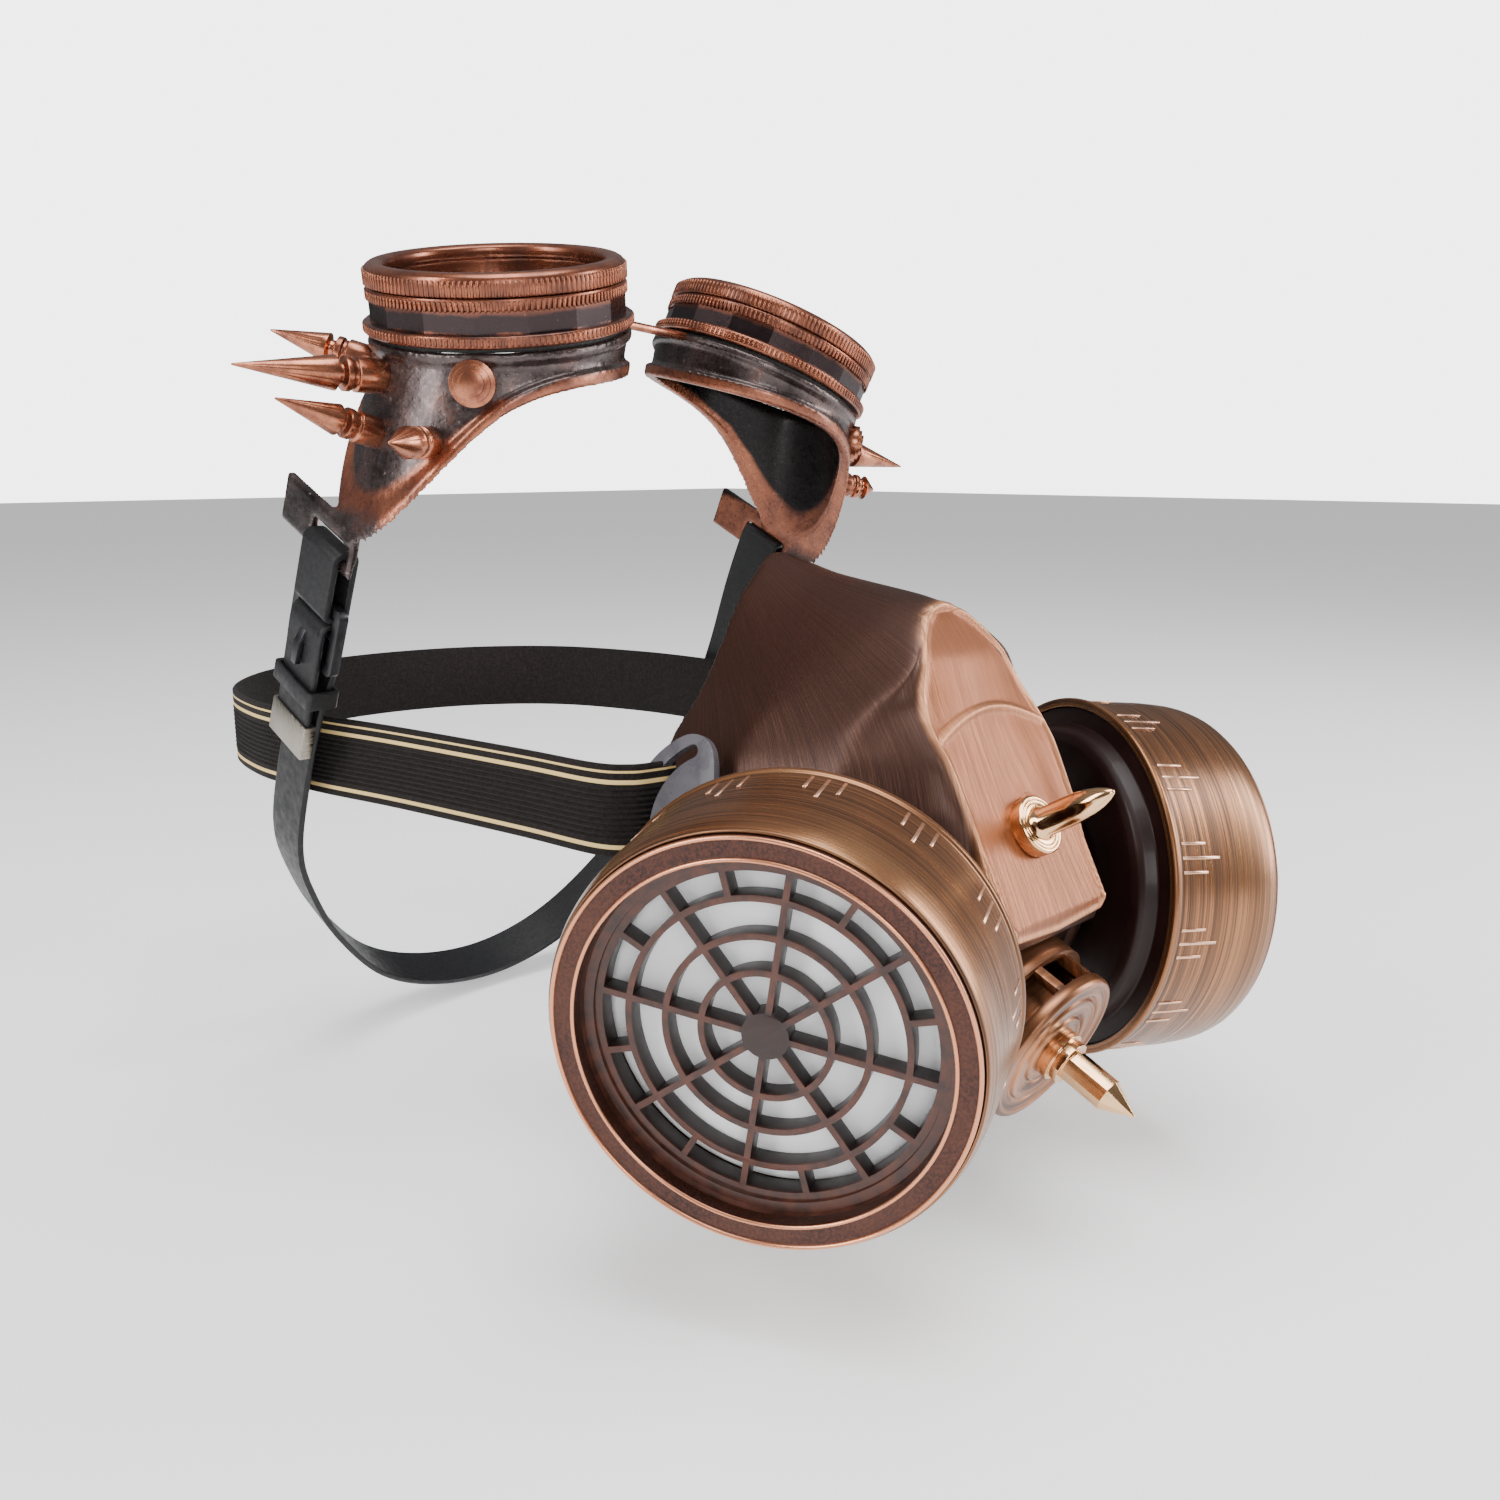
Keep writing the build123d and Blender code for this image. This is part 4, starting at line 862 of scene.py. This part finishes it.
# ------------------------------------------------------------------ goggle cups
# Each cup is a thin plastic casting in dark pewter and copper, dented as if old, with a
# rolled bright copper rim that follows the forehead and a copper lip under the lens ring.
GOGGLES_AT, GOGGLE_PITCH, GOGGLE_ROLL = (0, -16.0, 107.9), 10.3, 5.2
CUP_SPREAD, CUP_SPLAY = 46.7, 15.8
CUP_VOXEL = 0.55 * MM
CUP_ROUNDING = 8
LUG_FACE = {"right": 83.6, "left": 73.9}
RIM_WIDE, RIM_BLEND = 1.5, 0.7
LUG_BLEND = 1.5
BROW = ((8, -5.2), (26, -6.4), (38, -8.6), (50, -12.0), (62, -19.2), (68, -27.0), (74, -38.4), (79, -50.0),
        (84, -63.0))
PEWTER = (0.105, 0.078, 0.074, 1)
PEWTER_DARK = (0.020, 0.013, 0.013, 1)
CUP_COPPER = (0.36, 0.125, 0.066, 1)
CUP_COPPER_DARK = (0.16, 0.055, 0.036, 1)


def goggle_place():
    """Middle between the two cups, tipped back and to one side."""
    pitch = Matrix.Rotation(math.radians(GOGGLE_PITCH), 3, "X")
    roll = Matrix.Rotation(math.radians(GOGGLE_ROLL), 3, "Y")
    return frame_at(GOGGLES_AT, roll @ Vector((1, 0, 0)), roll @ pitch @ Vector((0, 0, 1)))


GOGGLES = goggle_place()


def cup_place(side):
    return (GOGGLES @ Matrix.Translation((side * CUP_SPREAD * MM, 0, 0))
            @ Matrix.Rotation(math.radians(side * CUP_SPLAY), 4, "Y"))


def cup_material():
    """Pewter with copper showing through, a bright rim, and painted shade that makes the inward faces of the cup
    near black.
    """
    material, tree, shader = new_material("aged pewter and copper", PEWTER, 0.35, 0.75, Coat_Weight=0.2,
                                          Coat_Roughness=0.2)
    where = object_space(tree)
    rim = attribute(tree, "rim")
    painted_hollow_shade = attribute(tree, "painted_hollow_shade")
    blotch = noise(tree, where, 75.0, 5.0, 0.6)
    fleck = noise(tree, where, 900.0, 2.0)
    pits = join(tree, "ShaderNodeTexVoronoi", {"Vector": where, "Scale": 520.0})
    tone = mixed(tree, spread(tree, blotch, 0.36, 0.62), PEWTER_DARK, PEWTER)
    tone = mixed(tree, spread(tree, blotch, 0.58, 0.68, 0.0, 0.5), tone, CUP_COPPER_DARK)
    tone = mixed(tree, spread(tree, fleck, 0.68, 0.78, 0.0, 0.6), tone, (0.36, 0.29, 0.26, 1))
    # Painted shade: faces that look in towards the cup's axis are mixed to near black.
    tone = mixed(tree, painted_hollow_shade, tone, (0.007, 0.005, 0.005, 1))
    copper = mixed(tree, spread(tree, blotch, 0.38, 0.66), CUP_COPPER, CUP_COPPER_DARK)
    colored(tree, shader, mixed(tree, rim, tone, copper))
    roughened(tree, shader, spread(tree, fleck, 0.3, 0.7, 0.22, 0.42))
    dent = bumped(tree, shader, blotch, 0.5, 0.0012)
    bumped(tree, shader, pits.outputs["Distance"], 0.1, 0.0002, dent)
    return material


CUP_PAINT = cup_material()
for side, word in SIDES:
    cup = cast("goggle_cup_" + word, "cup_" + word, CUP_VOXEL, CUP_ROUNDING)
    places, normals = points_of(cup.data)
    spots = np.c_[places * MM, np.ones(len(places))]
    own = (spots @ np.array(GOGGLES.inverted()).T)[:, :3] / MM
    off_brow = line_distance(np.c_[own[:, 0] * side, own[:, 2] - 1.2], BROW)
    past_lug = places[:, 0] * side - LUG_FACE[word]
    set_values(cup.data, "rim", np.minimum(1 - (off_brow - RIM_WIDE) / RIM_BLEND, 1 - past_lug / LUG_BLEND))
    middle = np.array(cup_place(side).inverted())
    from_axis = (spots @ middle.T)[:, :2]
    from_axis /= np.linalg.norm(from_axis, axis=1)[:, None]
    outwards = np.sum(from_axis * (normals @ middle[:3, :3].T)[:, :2], axis=1)
    # Marks the cup's inward-facing faces, which the material darkens as painted shade.
    set_values(cup.data, "painted_hollow_shade", (-outwards - 0.2) / 0.3)
    finish_piece(cup, CUP_PAINT, "goggles", "pewter_copper", "goggle_cup_" + word)
    repaint("cup_gasket_" + word, rubber)

# ------------------------------------------------------------------ lens rings
# A knurled collar screws down on each cup and holds the clear lens. The rounded bezel turns
# in it. Both are aged copper, dark on the faceted band between the two rows of knurls.
COLLAR_COPPER = (0.30, 0.10, 0.052, 1)
COLLAR_DARK = (0.030, 0.018, 0.019, 1)
KNURLS = 150
LOWER_KNURLS, UPPER_KNURLS, BEZEL_KNURLS = 1.65, 9.3, 13.3
FACETS = 16


def aged_copper(name, place, low, high):
    """Aged copper, darker between two heights on the piece's axis."""
    material, tree, shader = new_material(name, COLLAR_COPPER, 0.28, 0.85, Coat_Weight=0.2,
                                          Coat_Roughness=0.15)
    turn = own_axis(tree, place)
    where = object_space(tree)
    age = noise(tree, where, 120.0, 5.0, 0.6)
    speck = noise(tree, where, 1300.0, 2.0)
    tone = mixed(tree, spread(tree, age, 0.40, 0.66), COLLAR_COPPER, (0.13, 0.045, 0.028, 1))
    height = summed(tree, turn["Height"], spread(tree, age, 0.3, 0.7, -0.0006, 0.0006))
    band = summed(tree, spread(tree, height, low - 0.0006, low + 0.0002),
                  spread(tree, height, high, high + 0.0016, 1.0, 0.0), "MULTIPLY")
    tone = mixed(tree, band, tone, COLLAR_DARK)
    tone = mixed(tree, spread(tree, speck, 0.72, 0.80, 0.0, 0.5), tone, (0.60, 0.34, 0.25, 1))
    colored(tree, shader, tone)
    roughened(tree, shader, spread(tree, age, 0.3, 0.7, 0.18, 0.38))
    bumped(tree, shader, speck, 0.12, 0.0001)
    return material


collar_low = rounded([(26, 0.05), (32.7, 0.05), (33.3, 0.5), (33.3, 2.7), (32.8, 3.1), (31.7, 3.2),
                      (30.0, 3.2), (26, 3.0)], 0.25, 3)
collar_band = [(30.0, 3.0), (31.75, 3.0), (31.75, 8.3), (31.5, 8.7), (30.0, 8.7)]
collar_top = rounded([(29.5, 3.0), (30.6, 3.0), (30.6, 8.4), (31.55, 8.5), (31.9, 10.7), (31.7, 11.1),
                      (29.5, 11.1)], 0.15, 2)
bezel = rounded([(28.2, 5.2), (29.4, 5.2), (29.4, 11.2), (31.5, 11.25), (32.0, 11.6), (32.05, 14.4),
                 (31.5, 15.8), (30.2, 16.6), (28.4, 16.6), (27.2, 16.0), (26.9, 15.2), (26.9, 13.6), (28.2, 12.6)], 0.5, 3)
short_knurl = bar_item("short_knurl", [((0, 0, 0), (0.7, 0.78, 2.4), 0.2)])
low_knurl = bar_item("low_knurl", [((0, 0, 0), (0.7, 0.84, 2.0), 0.2)])
long_knurl = bar_item("long_knurl", [((0, 0, 0), (0.7, 0.82, 3.7), 0.2)])
DARK_BAND = (3.3 * MM, 7.0 * MM)
lens_glass, tree, shader = new_material("clear lens", (0.97, 0.985, 0.99, 1), 0.03, 0.0,
                                        Transmission_Weight=1.0, IOR=1.45)
where = object_space(tree)
smudge = noise(tree, where, 60.0, 4.0)
roughened(tree, shader, spread(tree, smudge, 0.45, 0.75, 0.01, 0.06))
for side, word in SIDES:
    place = cup_place(side)
    copper = aged_copper("aged collar copper " + word, place, *DARK_BAND)
    bezel_copper = aged_copper("aged bezel copper " + word, place, -1.0, -1.0)
    lower = turned("collar_flange_" + word, place, collar_low, 192, 50)
    ride_with_paint(lower, copper, "goggles", "aged_copper_collar", "lens_collar_" + word)
    flats = turned("collar_flats_" + word, place, collar_band, FACETS, 5)
    flats.data.materials.append(copper)
    lip = turned("collar_lip_" + word, place, collar_top, 192, 50)
    lip.data.materials.append(copper)
    upper_row = place @ Matrix.Translation((0, 0, UPPER_KNURLS * MM))
    upper = row_round("collar_knurls_" + word, short_knurl, upper_row, KNURLS, 31.85, copper)
    lower_row = place @ Matrix.Translation((0, 0, LOWER_KNURLS * MM))
    low_knurls = row_round("flange_knurls_" + word, low_knurl, lower_row, KNURLS, 33.25, copper)
    for piece in (flats, lip, upper, low_knurls):
        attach(piece, "goggles")
    top = turned("turning_bezel_" + word, place, bezel, 256, 50)
    ride_with_paint(top, bezel_copper, "bezel_" + word, "aged_copper_bezel", "lens_bezel_" + word)
    bezel_row = place @ Matrix.Translation((0, 0, BEZEL_KNURLS * MM))
    knurls = row_round("bezel_knurls_" + word, long_knurl, bezel_row, KNURLS, 31.95, bezel_copper)
    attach(knurls, "bezel_" + word)
    repaint("lens_" + word, lens_glass)

# ------------------------------------------------------------------ spikes, rivets and bridge
# Turned cones stand round the outer side of each cup, screwed into textured ferrules. A
# stepped rivet sits on each front, and a thin rod joins the two cups.
SPIKE_COPPER = (0.46, 0.17, 0.09, 1)
SPIKE_SHADE = (0.17, 0.055, 0.034, 1)


def cone_material():
    """Copper with tarnish in patches and a slightly gritty skin."""
    material, tree, shader = new_material("rubbed copper cones", SPIKE_COPPER, 0.24, 0.9, Coat_Weight=0.2,
                                          Coat_Roughness=0.12)
    where = object_space(tree)
    tarnish = noise(tree, where, 170.0, 5.0, 0.6)
    grit = noise(tree, where, 1100.0, 3.0)
    colored(tree, shader, mixed(tree, spread(tree, tarnish, 0.42, 0.66), SPIKE_COPPER, SPIKE_SHADE))
    roughened(tree, shader, spread(tree, tarnish, 0.3, 0.7, 0.16, 0.36))
    bumped(tree, shader, grit, 0.1, 0.00015)
    return material


CONES = cone_material()
for side, word in SIDES:
    edged("side_spikes_" + word, "cones_" + word, CONES, "goggles", "aged_copper_spikes", 0.3, 30)
    edged("rivet_boss_" + word, "rivet_" + word, CONES, "goggles", "aged_copper_boss", 0.4, 40)
edged("bridge_rod", "rod_between_cups", CONES, "goggles", "dark_steel", 0.1, 40, 1)

# ------------------------------------------------------------------ goggle strap
# A 16 mm strap of black grained synthetic leather. A short loop carries the gunmetal buckle;
# the long piece goes down round the nape, and its tail ends in a folded nickel clip.
STRAP_PATH = ((-87.4, 8), (-87.6, 20), (-87.8, 32), (-87.9, 41), (-86.6, 43.5), (-83.8, 43.5), (-82.4, 41),
              (-82.5, 30), (-84.2, 16), (-84.4, -10), (-82.6, -30), (-76.5, -46), (-64, -67), (-44, -89),
              (-20, -101), (6, -104), (30, -96), (50, -77), (66, -50), (72.6, -30), (74.6, -8), (74.6, 14),
              (72.7, 38), (72.6, 56), (73.9, 58.7), (76.7, 58.7), (77.9, 56), (78, 40))
STRAP_WIDTH, STRAP_THICK = 16.0, 1.7
LEAN = math.radians(24.8)
STRAP_PLACE = frame_at((0, 32.0, 1.0), (1, 0, 0), (0, -math.cos(LEAN), -math.sin(LEAN)))


def strap_section():
    half, thick = STRAP_WIDTH / 2, STRAP_THICK / 2
    side = [(thick, -half + 0.5), (thick, -half + 1.1), (thick + 0.05, -half / 2), (thick + 0.06, 0),
            (thick + 0.05, half / 2), (thick, half - 1.1), (thick, half - 0.5), (thick * 0.6, half - 0.06),
            (0, half)]
    return side + [(-u, -v) for u, v in side]


def leather_material():
    """Pebbled grain with fine creases across it."""
    material, tree, shader = new_material("grained black strap", (0.012, 0.012, 0.013, 1), 0.5, 0.0,
                                          Specular_IOR_Level=0.3)
    where = object_space(tree)
    pebble = join(tree, "ShaderNodeTexVoronoi", {"Vector": where, "Scale": 1250.0}, feature="SMOOTH_F1")
    crease = noise(tree, where, 420.0, 4.0)
    colored(tree, shader, mixed(tree, pebble.outputs["Distance"], (0.015, 0.015, 0.0165, 1),
                                (0.004, 0.004, 0.0045, 1)))
    roughened(tree, shader, spread(tree, crease, 0.3, 0.7, 0.38, 0.58))
    under = bumped(tree, shader, pebble.outputs["Distance"], -0.5, 0.0003)
    bumped(tree, shader, crease, 0.3, 0.0003, under)
    return material


LEATHER = leather_material()
strap_line, strap_run = through(STRAP_PATH, 700)
long_strap = strip("long_goggle_strap", strap_line, strap_run, STRAP_PLACE, strap_section())
ride_with_paint(long_strap, LEATHER, "goggles", "strap_leather", "goggle_strap_long")
edged("goggle_strap_short", "short_goggle_strap", LEATHER, "goggles", "strap_leather", 0.4, 40)
edged("keeper_loop", "strap_keeper", LEATHER, "goggles", "strap_leather", 0.35, 40)
gunmetal, tree, shader = new_material("satin gunmetal", (0.05, 0.05, 0.054, 1), 0.34, 0.9)
where = object_space(tree)
rub = noise(tree, where, 240.0, 5.0)
colored(tree, shader, mixed(tree, rub, (0.025, 0.025, 0.028, 1), (0.07, 0.07, 0.074, 1)))
roughened(tree, shader, spread(tree, rub, 0.3, 0.7, 0.26, 0.46))
edged("buckle_frame", "square_buckle", gunmetal, "goggles", "gunmetal", 0.5, 40, 3)
edged("buckle_prong", "buckle_tongue", gunmetal, "prong", "gunmetal", 0.3, 40)
nickel, tree, shader = new_material("brushed nickel", (0.42, 0.39, 0.34, 1), 0.3, 1.0)
where = object_space(tree)
grain_way = join(tree, "ShaderNodeMapping", {"Vector": where, "Scale": (60, 700, 60)})
lines = noise(tree, grain_way.outputs[0], 4.0, 3.0)
colored(tree, shader, mixed(tree, lines, (0.20, 0.18, 0.15, 1), (0.46, 0.42, 0.36, 1)))
roughened(tree, shader, spread(tree, lines, 0.3, 0.7, 0.22, 0.42))
bumped(tree, shader, lines, 0.2, 0.0001)
edged("strap_end_clip", "strap_clip", nickel, "goggles", "nickel", 0.35, 40)

# ------------------------------------------------------------------ studio
# A plain white floor and backdrop, soft boxes above and at both sides, and the camera at the
# height of the front spike.
BACK_WHITE = (0.98, 0.98, 0.98, 1)
CAMERA_AT = Vector((-259.1, -309.6, 79.4)) * MM
CAMERA_RIGHT, CAMERA_BACK = (0.697, -0.717, 0.0), (-0.702, -0.681, 0.209)
CAMERA_LENS = 32.65
FLOOR_DROP = 0.004
PAPER_WHITE = 4.5

plane = bpy.data.meshes.new("floor")
low = min(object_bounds()[0].z, cad_low.z) - FLOOR_DROP
plane.from_pydata([(-6, -6, low), (6, -6, low), (6, 6, low), (-6, 6, low)], [], [(0, 1, 2, 3)])
floor = bpy.data.objects.new("floor", plane)
bpy.context.scene.collection.objects.link(floor)
white, tree, shader = new_material("white paper floor", BACK_WHITE, 0.9, 0.0, Emission_Color=BACK_WHITE,
                                   Emission_Strength=0.4)
plane.materials.append(white)

world = bpy.data.worlds.new("studio")
bpy.context.scene.world = world
world.use_nodes = True
tree = world.node_tree
tree.nodes.clear()
way = join(tree, "ShaderNodeTexCoord").outputs["Generated"]
up = join(tree, "ShaderNodeSeparateXYZ", {0: way}).outputs[2]
sky = mixed(tree, spread(tree, up, -0.2, 0.9), (0.025, 0.025, 0.025, 1), (0.34, 0.34, 0.35, 1))
seen = join(tree, "ShaderNodeLightPath").outputs["Is Camera Ray"]
light = join(tree, "ShaderNodeBackground", {"Color": mixed(tree, seen, sky, (1, 1, 1, 1)),
                                            "Strength": spread(tree, seen, 0, 1, 1.0, PAPER_WHITE)})
tree.links.new(light.outputs[0], join(tree, "ShaderNodeOutputWorld").inputs["Surface"])


def soft_box(name, at, size, power, aim=(0, -0.09, 0.0)):
    data = bpy.data.lights.new(name, "AREA")
    data.shape = "RECTANGLE"
    data.size, data.size_y = size
    data.energy = power
    lamp = bpy.data.objects.new(name, data)
    bpy.context.scene.collection.objects.link(lamp)
    lamp.location = at
    lamp.rotation_mode = "QUATERNION"
    lamp.rotation_quaternion = (Vector(aim) - Vector(at)).to_track_quat("-Z", "Y")


soft_box("overhead_box", (-0.1, -0.3, 1.1), (0.8, 0.8), 15)
soft_box("left_box", (-1.0, 0.1, 0.45), (0.3, 0.9), 9)
soft_box("right_box", (0.75, -0.75, 0.35), (0.35, 0.8), 10)
soft_box("front_box", (-0.55, -1.0, 0.35), (0.4, 0.4), 4)

camera_data = bpy.data.cameras.new("camera")
camera_data.lens = CAMERA_LENS
camera_data.sensor_width = 36.0
camera_data.clip_start = 0.01
camera = bpy.data.objects.new("camera", camera_data)
bpy.context.scene.collection.objects.link(camera)
camera.matrix_world = frame_at(CAMERA_AT / MM, CAMERA_RIGHT, CAMERA_BACK)
bpy.context.scene.camera = camera
